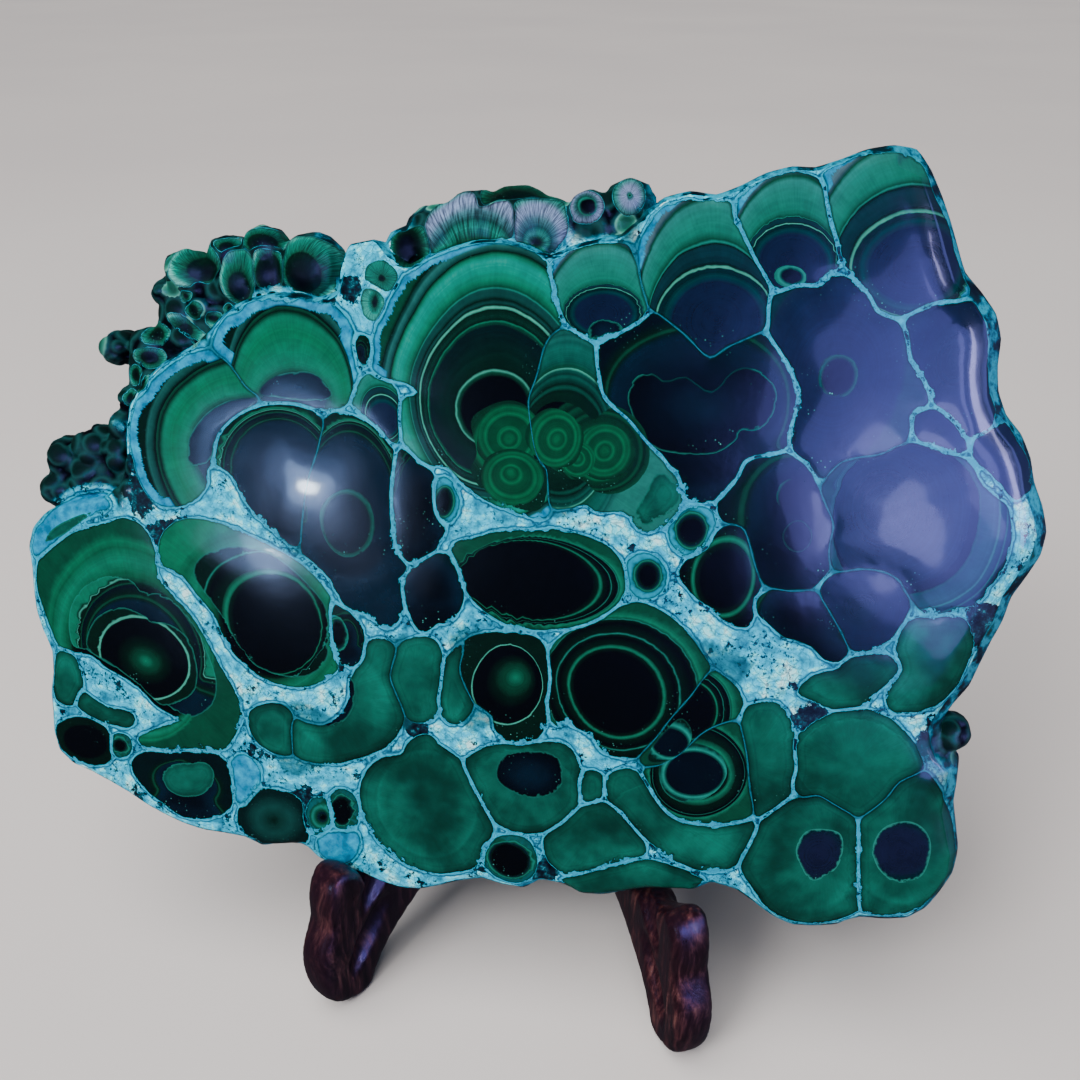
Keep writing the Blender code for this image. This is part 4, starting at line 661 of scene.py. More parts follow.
# And inside these again.
EYES = {
    "great_eye_low": nodule(EYE, 0.5, [
        (-7, 73), (-5.5, 75), (-2, 76), (1.5, 74.5), (3, 71.5), (1.5, 68), (-1.5, 66.5), (-4.5, 67),
        (-7, 69.5)], (-2.5, 72), (0.5, 0.5), (-2, 71), (5.5, 5), [(0, 0), (1, 0.55)]),
    "great_eye_high": nodule(EYE, 0.25, [
        (-8, 76.5), (-7.5, 80), (-5.5, 82.5), (-2.5, 83), (0.5, 81.5), (1.5, 78.5), (1, 75), (-1.5, 73),
        (-5, 73), (-7.5, 74.5)], (-3, 77.5), (0.5, 0.5), (-3, 78), (5.5, 5.5), [(0, 0), (1, 0.55)]),
    "wedge_eye_left": nodule(EYE, 0.1, [
        (-0.5, 77.5), (0, 80.5), (2.5, 82.5), (5.5, 82), (8, 80), (8.5, 77.5), (7.5, 74.5), (4.5, 73.5),
        (2, 74.5)], (4.5, 78), (0.5, 0.5), (4, 78), (4.5, 5), [(0, 0), (1, 0.55)]),
    "wedge_eye_low": nodule(EYE, 0.6, [
        (5.4, 76), (6.8, 77.6), (9.2, 77.8), (10.8, 76), (10.2, 73.4), (8.2, 72.4), (6, 73.4)],
        (8, 75.5), (0.5, 0.5), (8, 75), (3, 3), [(0, 0), (1, 0.5)]),
    "wedge_eye_right": nodule(EYE, 0.8, [
        (8, 76.6), (8.6, 79.4), (11.2, 80.8), (14.4, 80.2), (16.6, 77.6), (16.2, 74.6), (13.8, 72.8),
        (11, 72.6), (8.8, 74)], (12, 77), (0.5, 0.5), (12, 77), (4.5, 4.5), [(0, 0), (1, 0.55)]),
    "left_ring": nodule(GLOW, 0.5, [
        (-77, 35.5), (-75.5, 40), (-72.5, 42.5), (-69, 43.5), (-65.5, 42.5), (-63.5, 41.5), (-61, 41.5),
        (-58, 40), (-56.5, 37), (-56, 33.5), (-56.5, 30), (-59, 27.5), (-63, 26), (-65.5, 27.5),
        (-68.5, 30), (-73, 33)], (-65.5, 34), (2.5, 2), (-66, 34.5), (9, 8), [(0, 0.2), (1, 0.86)]),
}


# ---- what lies between the nodules ----

SEAMS = [  # neighbours with hardly a line between them
    ("left_fan", "top_fan"), ("hot_navy", "drop_navy"), ("great_fan", "wedge_fan"),
    ("white_fan", "dark_heart"), ("middle_lilac", "big_lilac"), ("net_navy", "low_navy"),
    ("net_navy", "inner_navy"), ("net_navy", "big_lilac"), ("purple_disc", "low_navy"),
    ("purple_disc", "big_lilac"), ("low_disc_left", "sheen_cell"), ("low_disc_right", "sheen_cell"),
    ("teal_strip", "ring_cell"), ("great_disc", "loop_cell"), ("loop_cell", "ring_cell"),
    ("hook_green", "soft_green"), ("glow_block", "glow_block_side"), ("hook_green", "leaf_green"),
    ("bump_main", "bump_right"), ("bump_main", "bump_top"), ("bump_right", "bump_top"),
    ("bump_lens", "bump_main"), ("dome_one", "dome_two"), ("dome_two", "dome_four"),
    ("dome_four", "dome_five"), ("dome_one", "dome_three"), ("dome_three", "dome_five"),
    ("dome_two", "dome_three"), ("small_fan", "white_fan"),
]
JOINT_CUSHIONS = [("hot_navy", "drop_navy")]    # neighbours that swell as one
ROUGH_ZONES = [  # where the grape-like rim shows: across, up, radius
    (-52, 103, 17), (-66, 90, 11), (-79, 67, 12.5), (-70, 79, 5), (-9, 112, 13), (9, 114, 8), (70.5, 34, 5),
]
BLACK_CLUSTER = (-79, 67, 13.5)                 # the darkest part of the rim
DARK_PATCHES = [  # dark crust between the nodules: across, up, radius
    (-64.5, 64.1, 3.4), (-61.5, 57.3, 2.4), (-37.1, 10.1, 3.6), (-44.0, 5.1, 4.4), (-17.2, 27.8, 2.0),
    (5.9, 3.5, 2.2), (47.5, 36.4, 2.6), (66.7, 35.1, 3.4), (70.6, 54.6, 3.0), (-29.3, 98.9, 2.0),
    (-69.6, 67.5, 3.0), (-32.9, 97.2, 1.6), (-69.3, 84.2, 3.0),
]


# ---- the mesh of the slab ----


def on_face(points):
    """Across, up and depth behind the face's plane, for points in millimetres."""
    out = points - SEAT
    return out @ ACROSS, out @ UPWARD, -(out @ OUTWARD)


def deselect_all():
    if bpy.context.object and bpy.context.object.mode != "OBJECT":
        bpy.ops.object.mode_set(mode="OBJECT")
    bpy.ops.object.select_all(action="DESELECT")


def take_up(piece):
    """Makes the piece the only one that is selected, and active."""
    deselect_all()
    piece.select_set(True)
    bpy.context.view_layer.objects.active = piece


def copy_of(node, name):
    """A copy of a solid with its corners joined, ready to be worked on."""
    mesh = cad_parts[node].data.copy()
    mesh.name = name
    piece = bpy.data.objects.new(name, mesh)
    bpy.context.scene.collection.objects.link(piece)
    take_up(piece)
    bpy.ops.object.mode_set(mode="EDIT")
    bpy.ops.mesh.select_all(action="SELECT")
    bpy.ops.mesh.remove_doubles(threshold=0.001 * MM)
    bpy.ops.mesh.customdata_custom_splitnormals_clear()
    bpy.ops.object.mode_set(mode="OBJECT")
    return piece


def places(mesh):
    """The mesh's vertices in millimetres."""
    flat = np.empty(len(mesh.vertices) * 3, np.float32)
    mesh.vertices.foreach_get("co", flat)
    return flat.reshape(-1, 3).astype(float) / MM


def directions(mesh):
    flat = np.empty(len(mesh.vertices) * 3, np.float32)
    mesh.vertex_normals.foreach_get("vector", flat)
    return flat.reshape(-1, 3).astype(float)


def put_places(mesh, points):
    mesh.vertices.foreach_set("co", (points * MM).astype(np.float32).ravel())
    mesh.update()


def smooth_step(value, low, high):
    share = np.clip((value - low) / (high - low), 0.0, 1.0)
    return share * share * (3 - 2 * share)


def in_rough_zone(across, up):
    """1 inside the rough zones, falling to 0 over two millimetres."""
    inside = np.zeros(len(across))
    for x, y, radius in ROUGH_ZONES:
        inside = np.maximum(inside, smooth_step(radius - np.hypot(across - x, up - y), 0.0, 2.0))
    return inside


def wanted_edge(middle, normal):
    """How long an edge may be where this edge lies."""
    across, up, depth = on_face(middle)
    out = normal @ OUTWARD
    wanted = np.where(out > 0.55, FACE_GRAIN, np.where(out > -0.6, SIDE_GRAIN, BACK_GRAIN))
    rough = (in_rough_zone(across, up) > 0) & (depth < 11.5) & (out < 0.9)
    return np.where(rough, ROUGH_GRAIN, wanted)


def refine(piece):
    """Splits the long edges until the mesh is fine enough for its place, and stays in edit mode."""
    take_up(piece)
    bpy.ops.object.mode_set(mode="EDIT")
    bpy.ops.mesh.select_mode(type="EDGE")
    for _ in range(REFINEMENTS):
        bpy.ops.mesh.select_all(action="DESELECT")
        mesh = bmesh.from_edit_mesh(piece.data)
        ends = np.array([[v.co[:] for v in edge.verts] for edge in mesh.edges]) / MM
        normal = np.array([(edge.verts[0].normal + edge.verts[1].normal)[:] for edge in mesh.edges]) / 2
        length = np.linalg.norm(ends[:, 0] - ends[:, 1], axis=1)
        long = length > wanted_edge(ends.mean(axis=1), normal)
        for edge, chosen in zip(mesh.edges, long):
            if chosen:
                edge.select = True
        bmesh.update_edit_mesh(piece.data)
        if not long.any():
            break
        bpy.ops.mesh.subdivide(number_cuts=1)
        bpy.ops.mesh.select_all(action="SELECT")
        bpy.ops.mesh.quads_convert_to_tris(quad_method="SHORTEST_DIAGONAL", ngon_method="BEAUTY")
        bpy.ops.mesh.beautify_fill(angle_limit=math.radians(12.0))


def ease(piece):
    """Smooths the mesh a little, in edit mode, then the rough rim and the face some more."""
    bpy.ops.mesh.select_mode(type="VERT")
    bpy.ops.mesh.select_all(action="SELECT")
    bpy.ops.mesh.vertices_smooth(factor=0.35, repeat=2)
    bpy.ops.mesh.select_all(action="DESELECT")
    mesh = bmesh.from_edit_mesh(piece.data)
    corners = np.array([vertex.co[:] for vertex in mesh.verts]) / MM
    level = np.array([vertex.normal[:] for vertex in mesh.verts]) @ OUTWARD
    across, up, _ = on_face(corners)
    rough = (in_rough_zone(across, up) > 0.5) & (level < 0.97)
    for chosen, repeats in ((rough, 8), ((level > 0.9) & ~rough, 8)):
        for vertex, here in zip(mesh.verts, chosen):
            vertex.select = bool(here)
        bmesh.update_edit_mesh(piece.data)
        bpy.ops.mesh.vertices_smooth(factor=0.5, repeat=repeats)
        bpy.ops.mesh.select_all(action="DESELECT")
    bpy.ops.object.mode_set(mode="OBJECT")


# ---- where each point lies in the nodules ----

def rounded(outline):
    """A closed smooth curve through the outline's points."""
    before, after = np.roll(outline, 1, axis=0), np.roll(outline, -1, axis=0)
    beyond = np.roll(outline, -2, axis=0)
    parts = []
    for share in np.arange(LOOP_PARTS) / LOOP_PARTS:
        cubic = 3 * outline - before - 3 * after + beyond
        square = 2 * before - 5 * outline + 4 * after - beyond
        line = after - before
        parts.append(0.5 * (2 * outline + share * (line + share * (square + share * cubic))))
    return np.stack(parts, axis=1).reshape(-1, 2)


def edge_distance(points, outline):
    """Distance to the closed curve, above 0 inside it."""
    start, stop = outline, np.roll(outline, -1, axis=0)
    nearest = np.full(len(points), 1e9)
    inside = np.zeros(len(points), bool)
    for a, b in zip(start, stop):
        line = b - a
        along = np.clip((points - a) @ line / max(line @ line, 1e-9), 0.0, 1.0)
        gap = points - a - along[:, None] * line
        nearest = np.minimum(nearest, (gap * gap).sum(axis=1))
        crosses = (a[1] > points[:, 1]) != (b[1] > points[:, 1])
        if a[1] != b[1]:
            at = a[0] + (points[:, 1] - a[1]) * line[0] / line[1]
            inside ^= crosses & (points[:, 0] < at)
    return np.where(inside, 1.0, -1.0) * np.sqrt(nearest)


def wandering(across, up, depth, size, seed):
    """A smooth value from about -1 to 1 that changes over distances of this size."""
    value = np.zeros(len(across))
    for turn in range(5):
        angle = 2.4 * turn + seed
        lean = math.sin(3.1 * turn + seed)
        along = across * math.cos(angle) + up * math.sin(angle) + depth * lean
        value += np.sin(along * (1.6 + 0.55 * turn) * 2 / size + 5.3 * turn + seed)
    return value / 3.2


def drifted(value, across, up, depth, seed):
    """The value, wavering a little. Further back it drifts, since the nodules are cut elsewhere there."""
    waver = WAVER * wandering(across, up, depth, 26, seed)
    drift = DRIFT * np.clip(depth, 0.0, None) * wandering(across, up, 0, 40, seed + 1.0)
    return value + waver + drift


def ring_place(shape, across, up):
    """(u, v): the direction from the middle of the nodule, as long as the stage of growth there."""
    inner, inner_radii, outer, outer_radii = shape["ellipses"]
    x, y = across, up
    low, high = np.zeros(len(x)), np.full(len(x), 1.6)
    for _ in range(14):
        half = (low + high) / 2
        centre_x = inner[0] + (outer[0] - inner[0]) * half
        centre_y = inner[1] + (outer[1] - inner[1]) * half
        radius_x = inner_radii[0] + (outer_radii[0] - inner_radii[0]) * half
        radius_y = inner_radii[1] + (outer_radii[1] - inner_radii[1]) * half
        beyond = ((x - centre_x) / radius_x) ** 2 + ((y - centre_y) / radius_y) ** 2 > 1
        low, high = np.where(beyond, half, low), np.where(beyond, high, half)
    growth = (low + high) / 2
    from_x, from_y = (x - inner[0]) / inner_radii[0], (y - inner[1]) / inner_radii[1]
    within = np.hypot(from_x, from_y)
    shares, stages = zip(*shape["rings"])
    stage = np.where(within < 1, stages[0] * within, np.interp(growth, shares, stages))
    away_x = x - inner[0] - (outer[0] - inner[0]) * growth
    away_y = y - inner[1] - (outer[1] - inner[1]) * growth
    far = np.maximum(np.hypot(away_x, away_y), 1e-6)
    return stage * away_x / far, stage * away_y / far


class Field:
    """A nodule's values at the vertices near it."""

    def __init__(self, shape, across, up, reach):
        outline = rounded(shape["outline"])
        low, high = outline.min(axis=0) - reach, outline.max(axis=0) + reach
        near = (across > low[0]) & (across < high[0]) & (up > low[1]) & (up < high[1])
        self.index = np.flatnonzero(near)
        self.shape = shape
        points = np.stack([across[near], up[near]], axis=1)
        self.edge = edge_distance(points, outline)
        self.u, self.v = ring_place(shape, across[near], up[near])


def outside_of(fields, count):
    """Distance to the nearest of these nodules, below 0 inside one."""
    nearest = np.full(count, -FAR)
    for field in fields:
        nearest[field.index] = np.minimum(nearest[field.index], -field.edge)
    return nearest


def nearest_nodules(fields, count):
    """The three largest distances inside a nodule's edge at each vertex, and whose the first two are."""
    ranked = np.full((3, count), FAR)
    owner = np.full((2, count), -1)
    for number, field in enumerate(fields):
        here, edge = field.index, field.edge
        first, second, third = ranked[:, here]
        wins, runs = edge > first, (edge <= first) & (edge > second)
        ranked[2, here] = np.where(wins | runs, second, np.maximum(third, edge))
        ranked[1, here] = np.where(wins, first, np.where(runs, edge, second))
        ranked[0, here] = np.maximum(first, edge)
        owner[1, here] = np.where(wins, owner[0, here], np.where(runs, number, owner[1, here]))
        owner[0, here] = np.where(wins, number, owner[0, here])
    return ranked, owner


def spread_until_they_meet(fields, names, grow):
    """Nodules grow by up to this much, and share what lies between them.

    Returns how far within a cushion each vertex is, and whether it is by a seam.
    """
    ranked, owner = nearest_nodules(fields, len(grow))
    width = np.full((len(fields), len(fields) + 1), VEIN)
    for first, second in SEAMS:
        width[names.index(first), names.index(second)] = SEAM
        width[names.index(second), names.index(first)] = SEAM
    # Where three nodules meet, the vein between them is wider.
    corner = 0.30 * smooth_step(ranked[2] - ranked[0], -1.6, 0.0)
    # A cushion runs on over a seam.
    joined = width[owner[0], owner[1]] == SEAM
    cushion = np.minimum(ranked[0] + grow, (ranked[0] - np.where(joined, ranked[2], ranked[1])) / 2)
    for number, field in enumerate(fields):
        here = field.index
        mine = owner[0, here] == number
        other = np.where(mine, ranked[1, here], ranked[0, here])
        beside = np.where(mine, owner[1, here], owner[0, here])
        midway = (field.edge - other) / 2 - width[number, beside]
        field.edge = np.minimum(field.edge + grow[here], midway) - corner[here]
    return cushion, joined


def evened(mesh, values, share):
    """Values averaged with their neighbours' a few times, by this share."""
    ends = np.empty(2 * len(mesh.edges), np.int32)
    mesh.edges.foreach_get("vertices", ends)
    first, second, count = ends[0::2], ends[1::2], len(values)
    beside = np.bincount(first, minlength=count) + np.bincount(second, minlength=count)
    smooth = values.copy()
    for _ in range(EVENING_ROUNDS):
        total = np.bincount(first, smooth[second], count) + np.bincount(second, smooth[first], count)
        smooth = smooth + share * (total / np.maximum(beside, 1) - smooth)
    return smooth


def own_run(outline, other):
    """The points of an outline that the other one doesn't share, in order."""
    own = [point not in other for point in outline]
    start = next(index for index in range(len(own)) if own[index] and not own[index - 1])
    return [outline[(start + step) % len(own)] for step in range(sum(own))]


def joint_cushions(cushion, across, up):
    """Two nodules with a mere seam between them swell as one."""
    for first, second in JOINT_CUSHIONS:
        mine, other = CELLS[first]["outline"].tolist(), CELLS[second]["outline"].tolist()
        both = rounded(np.array(own_run(mine, other) + own_run(other, mine)))
        low, high = both.min(axis=0), both.max(axis=0)
        near = np.flatnonzero((across > low[0]) & (across < high[0]) & (up > low[1]) & (up < high[1]))
        within = edge_distance(np.stack([across[near], up[near]], axis=1), both)
        cushion[near] = np.maximum(cushion[near], within)


def layers_of(fields, count):
    """Sorts nodules into few layers, so that no two in a layer are close."""
    layers = []
    for field in sorted(fields, key=lambda item: -len(item.index)):
        for layer in layers:
            other = np.full(count, FAR)
            for placed in layer:
                other[placed.index] = np.maximum(other[placed.index], placed.edge)
            if (np.minimum(other[field.index], field.edge) < -SAME_LAYER_GAP / 2).all():
                layer.append(field)
                break
        else:
            layers.append([field])
    return layers


def write_colour(mesh, name, *values):
    attribute = mesh.attributes.new(name, "FLOAT_COLOR", "POINT")
    attribute.data.foreach_set("color", np.stack(values, axis=1).astype(np.float32).ravel())


def write_layer(mesh, name, layer, count):
    """The nodules' growth, the distance to their edge, and their kind and seed as one value."""
    u, v, edge, kind = np.zeros(count), np.zeros(count), np.full(count, FAR), np.zeros(count)
    for field in layer:
        closer = field.edge > edge[field.index]
        here = field.index[closer]
        u[here], v[here], edge[here] = field.u[closer], field.v[closer], field.edge[closer]
        kind[here] = field.shape["kind"] + 0.05 + 0.9 * field.shape["seed"]
    write_colour(mesh, name, u, v, edge, kind)


def write_layers(mesh, level, fields):
    """Writes the nodules of one level on the vertices, and returns the layers' names."""
    names = []
    for number, layer in enumerate(layers_of(fields, len(mesh.vertices))):
        names.append(f"{level}_{number}")
        write_layer(mesh, names[-1], layer, len(mesh.vertices))
    return names


def cushion_rise(mesh, cushion, facing):
    """Polished nodules stand a little proud, like small cushions."""
    share = np.clip(cushion / CUSHION_REACH, 0.0, 1.0)
    rise = CUSHION * (1 - (1 - share) ** 2) * smooth_step(facing, 0.6, 0.95)
    return evened(mesh, rise, smooth_step(cushion, 1.0, 3.0))


def bubbles(points, rough):
    """Distance to the nearest bubble's middle, and a number for each bubble, where it is rough."""
    near, tone = np.zeros(len(points)), np.zeros(len(points))
    for index in np.flatnonzero(rough > 0):
        place = Vector(points[index] / BUBBLE)
        distances, centres = noise.voronoi(place, distance_metric="DISTANCE", exponent=2.5)
        near[index] = distances[0]
        tone[index] = noise.cell(centres[0] * 7.31 + Vector((0.5, 0.5, 0.5)))
    return near, tone


def bubble_lift(near):
    """How far a bubble lifts the surface, or lowers it between bubbles."""
    return BUBBLE_RISE * (np.sqrt(np.clip(1 - (near / 0.75) ** 2, 0, 1)) - 0.72)


def dark_parts(across, up):
    """How far each place is in the black cluster, and in a patch of dark crust."""
    x, y, radius = BLACK_CLUSTER
    black = smooth_step(radius - np.hypot(across - x, up - y), 0.0, 2.0)
    crust = np.zeros(len(across))
    for x, y, radius in DARK_PATCHES:
        patch = smooth_step(-np.hypot(across - x, up - y), -1.5 * radius, -0.5 * radius)
        crust = np.maximum(crust, patch)
    return black, crust


def model_slab():
    """The slab, with each nodule's rings written on its vertices. Returns it and the layers' names."""
    piece = copy_of("slab", "malachite_slab")
    refine(piece)
    ease(piece)
    mesh = piece.data
    points, normal = places(mesh), directions(mesh)
    across, up, depth = on_face(points)
    facing, zone = normal @ OUTWARD, in_rough_zone(across, up)
    flat_across = drifted(across, across, up, depth, 1.0)
    flat_up = drifted(up, across, up, depth, 4.0)
    cells = [Field(shape, flat_across, flat_up, CELL_REACH) for shape in CELLS.values()]
    inner = [Field(shape, flat_across, flat_up, INNER_REACH) for shape in INNER.values()]
    eyes = [Field(shape, flat_across, flat_up, EYE_REACH) for shape in EYES.values()]
    grow = LEAST_GROW + (GROW - LEAST_GROW) * smooth_step(facing, 0.90, 0.985) * (1 - zone)
    cushion, joined = spread_until_they_meet(cells, list(CELLS), grow)
    joint_cushions(cushion, flat_across, flat_up)
    names = []
    for level, fields in (("cell", cells), ("inner", inner), ("eye", eyes)):
        names += write_layers(mesh, level, fields)
    nearest = outside_of(cells, len(points))
    on_face_only = [field for field in cells if field.shape["kind"] not in (DOME, BUMP)]
    from_face = outside_of(on_face_only, len(points))
    rough = zone * smooth_step(from_face, 0.9, 1.6)
    near, tone = bubbles(points, rough)
    bubbly = rough * smooth_step(nearest, 0.2, 1.2) * smooth_step(-depth, -12.0, -9.0)
    lift, rise = bubble_lift(near) * bubbly, cushion_rise(mesh, cushion, facing)
    put_places(mesh, points + normal * lift[:, None] + OUTWARD * rise[:, None])
    black, crust = dark_parts(across, up)
    write_colour(mesh, "ground", from_face, rough, near, tone * (1 - black))
    write_colour(mesh, "rim", smooth_step(-facing, -0.90, -0.55), crust, black, joined)
    mesh.shade_smooth()
    return piece, names


def model_board(node):
    """A board of the stand with its corners worn round."""
    piece = copy_of(node, node + "_wood")
    bpy.ops.object.mode_set(mode="EDIT")
    bpy.ops.mesh.select_mode(type="EDGE")
    for _ in range(3):
        bpy.ops.mesh.select_all(action="DESELECT")
        mesh = bmesh.from_edit_mesh(piece.data)
        for edge in mesh.edges:
            if edge.calc_length() > BOARD_GRAIN * MM:
                edge.select = True
        bmesh.update_edit_mesh(piece.data)
        bpy.ops.mesh.subdivide(number_cuts=1)
        bpy.ops.mesh.select_all(action="SELECT")
        bpy.ops.mesh.quads_convert_to_tris(quad_method="SHORTEST_DIAGONAL", ngon_method="BEAUTY")
    bpy.ops.mesh.select_mode(type="VERT")
    bpy.ops.mesh.select_all(action="SELECT")
    bpy.ops.mesh.vertices_smooth(factor=0.5, repeat=5)
    bpy.ops.object.mode_set(mode="OBJECT")
    piece.data.shade_smooth()
    return piece


# ---- material making ----

def put(tree, kind, inputs=(), **settings):
    """A new node with its settings, and its inputs given as values or as other nodes' outputs."""
    node = tree.nodes.new("ShaderNode" + kind)
    for name, value in settings.items():
        setattr(node, name, value)
    for key, value in dict(inputs).items():
        if isinstance(value, bpy.types.NodeSocket):
            tree.links.new(value, node.inputs[key])
        else:
            node.inputs[key].default_value = value
    return node


def calc(tree, operation, *values):
    return put(tree, "Math", enumerate(values), operation=operation).outputs[0]


def opaque(value):
    return (*value, 1.0) if isinstance(value, tuple) and len(value) == 3 else value


def blend(tree, factor, first, second, way="MIX"):
    inputs = {0: factor, 6: opaque(first), 7: opaque(second)}
    return put(tree, "Mix", inputs, data_type="RGBA", blend_type=way).outputs[2]


def pick(tree, factor, first, second):
    return put(tree, "Mix", {0: factor, 2: first, 3: second}, data_type="FLOAT").outputs[0]


def shaded(tree, colour, value):
    """The colour made darker or lighter by this much."""
    grey = put(tree, "CombineXYZ", {0: value, 1: value, 2: value}).outputs[0]
    return blend(tree, 1.0, colour, grey, "MULTIPLY")


def is_kind(tree, number, kind):
    return put(tree, "Math", {0: number, 1: float(kind), 2: 0.3}, operation="COMPARE").outputs[0]


def is_either(tree, number, kind, next_kind):
    """1 for either of two kinds whose numbers follow each other."""
    return put(tree, "Math", {0: number, 1: (kind + next_kind) / 2, 2: 0.8}, operation="COMPARE").outputs[0]


def between(tree, value, low, high, first=0.0, second=1.0):
    inputs = {0: value, 1: low, 2: high, 3: first, 4: second}
    return put(tree, "MapRange", inputs, interpolation_type="SMOOTHSTEP").outputs[0]


def ramp(tree, value, stops):
    node = put(tree, "ValToRGB", {0: value})
    elements = node.color_ramp.elements
    while len(elements) < len(stops):
        elements.new(0.5)
    for element, (place, colour) in zip(elements, stops):
        element.position = place
        element.color = opaque(colour)
    return node.outputs[0]


def speckle(tree, vector, scale, detail=3.0, rough=0.5, kind="3D", w=0.0):
    inputs = {"Scale": scale, "Detail": detail, "Roughness": rough}
    if kind != "1D":
        inputs["Vector"] = vector
    if kind != "3D":
        inputs["W"] = w
    return put(tree, "TexNoise", inputs, noise_dimensions=kind).outputs[0]


def group(name, inputs, outputs):
    """An empty node group with named sockets. Returns its tree and its input and output nodes."""
    tree = bpy.data.node_groups.new(name, "ShaderNodeTree")
    for label, kind in inputs:
        tree.interface.new_socket(label, in_out="INPUT", socket_type="NodeSocket" + kind)
    for label, kind in outputs:
        tree.interface.new_socket(label, in_out="OUTPUT", socket_type="NodeSocket" + kind)
    return tree, tree.nodes.new("NodeGroupInput"), tree.nodes.new("NodeGroupOutput")


def fill_group(tree, made, inputs):
    return put(tree, "Group", inputs, node_tree=made)


def fine_grit_group():
    """Fine unevenness, as a value from 0 to 1, for polish, oiled wood and the floor."""
    tree, start, end = group("fine grit", [("Place", "Vector"), ("Size", "Float")], [("Grit", "Float")])
    inputs = {"Vector": start.outputs["Place"], "Scale": start.outputs["Size"], "Detail": 4.0}
    tree.links.new(put(tree, "TexNoise", inputs).outputs[0], end.inputs["Grit"])
    return tree


def grit_of(tree, place, size):
    made = bpy.data.node_groups.get("fine grit") or fine_grit_group()
    return fill_group(tree, made, {"Place": place, "Size": size}).outputs["Grit"]


def ring_colours(tree, stage, number):
    """The colour of the ring at this stage of growth, for each kind of nodule."""
    colour = ramp(tree, stage, RINGS[FAN])
    for other in range(1, len(RINGS)):
        colour = blend(tree, is_kind(tree, number, other), colour, ramp(tree, stage, RINGS[other]))
    return colour


def fine_rings(tree, place, stage, seed, plain):
    """The finest rings, and mottling, as a value round 1."""
    shift = calc(tree, "MULTIPLY_ADD", stage, 46.0, calc(tree, "MULTIPLY", seed, 31.0))
    fine = speckle(tree, None, 1.0, 4.0, 0.7, "1D", shift)
    depth = between(tree, stage, 0.58, 0.64, 0.12, 0.06)
    depth = calc(tree, "MULTIPLY", calc(tree, "SUBTRACT", 1.0, plain), depth)
    fine = calc(tree, "MULTIPLY_ADD", between(tree, fine, 0.3, 0.7, -1.0, 1.0), depth, 1.0)
    mottle = between(tree, speckle(tree, place, 330.0, 4.0, 0.65), 0.3, 0.7, 0.84, 1.14)
    return calc(tree, "MULTIPLY", fine, mottle)


def fibres(tree, spokes, lump):
    """Fibres along the spokes, as a value round 1, coarser in the lumps of the rim."""
    fibre = speckle(tree, spokes, 3.2, 3.0, 0.6)
    coarse = between(tree, fibre, 0.35, 0.65, 0.35, 1.7)
    return pick(tree, lump, between(tree, fibre, 0.3, 0.7, 0.93, 1.06), coarse)


def blue_skin(tree, spokes, stage, edge, number):
    """Where the outside of a fan has its skin of bright blue."""
    fan = calc(tree, "MAXIMUM", is_kind(tree, number, FAN), is_either(tree, number, BROAD, CREST))
    thick = pick(tree, is_kind(tree, number, BROAD), 1.05, 1.7)
    tooth = calc(tree, "MULTIPLY_ADD", speckle(tree, spokes, 6.0, 3.0, 0.6), 1.3, -0.65)
    inward = calc(tree, "SUBTRACT", calc(tree, "ADD", edge, tooth), thick)
    skin = between(tree, inward, -0.12, 0.12, 1.0, 0.0)
    return calc(tree, "MULTIPLY", skin, calc(tree, "MULTIPLY", fan, between(tree, stage, 0.89, 0.92)))


def green_clouds(tree, place, edge, plain):
    """Clouds in the plain green nodules, as a value round 1, paler towards the edge."""
    cloud = between(tree, speckle(tree, place, 90.0, 3.0, 0.55), 0.32, 0.68, 0.45, 1.5)
    cloud = calc(tree, "MULTIPLY", cloud, between(tree, edge, 0.2, 1.3, 0.6, 1.05))
    band = put(tree, "Math", {0: edge, 1: 1.35, 2: 0.16}, operation="COMPARE").outputs[0]
    cloud = calc(tree, "MULTIPLY", cloud, calc(tree, "MULTIPLY_ADD", band, -0.14, 1.0))
    return pick(tree, plain, 1.0, cloud)


def crumbs(tree, place, edge, low_side, colour):
    """Where crumbs of chrysocolla lie in the dark parts, mostly near their edges."""
    crumb = put(tree, "TexVoronoi", {"Vector": place, "Scale": 1500.0})
    dot = between(tree, crumb.outputs["Distance"], 0.12, 0.2, 1.0, 0.0)
    strewn = between(tree, speckle(tree, place, 130.0, 3.0), 0.50, 0.62)
    strewn = calc(tree, "MULTIPLY", strewn, between(tree, edge, 0.5, 3.5, 1.0, 0.0))
    strewn = calc(tree, "MULTIPLY", strewn, between(tree, low_side, -0.5, 0.2, 1.0, 0.15))
    shade = put(tree, "RGBToBW", {0: colour}).outputs[0]
    strewn = calc(tree, "MULTIPLY", strewn, between(tree, shade, 0.008, 0.03, 1.0, 0.0))
    chance = put(tree, "SeparateXYZ", {0: crumb.outputs["Color"]}).outputs[0]
    some = calc(tree, "GREATER_THAN", chance, 0.35)
    return calc(tree, "MULTIPLY", calc(tree, "MULTIPLY", dot, strewn), some)


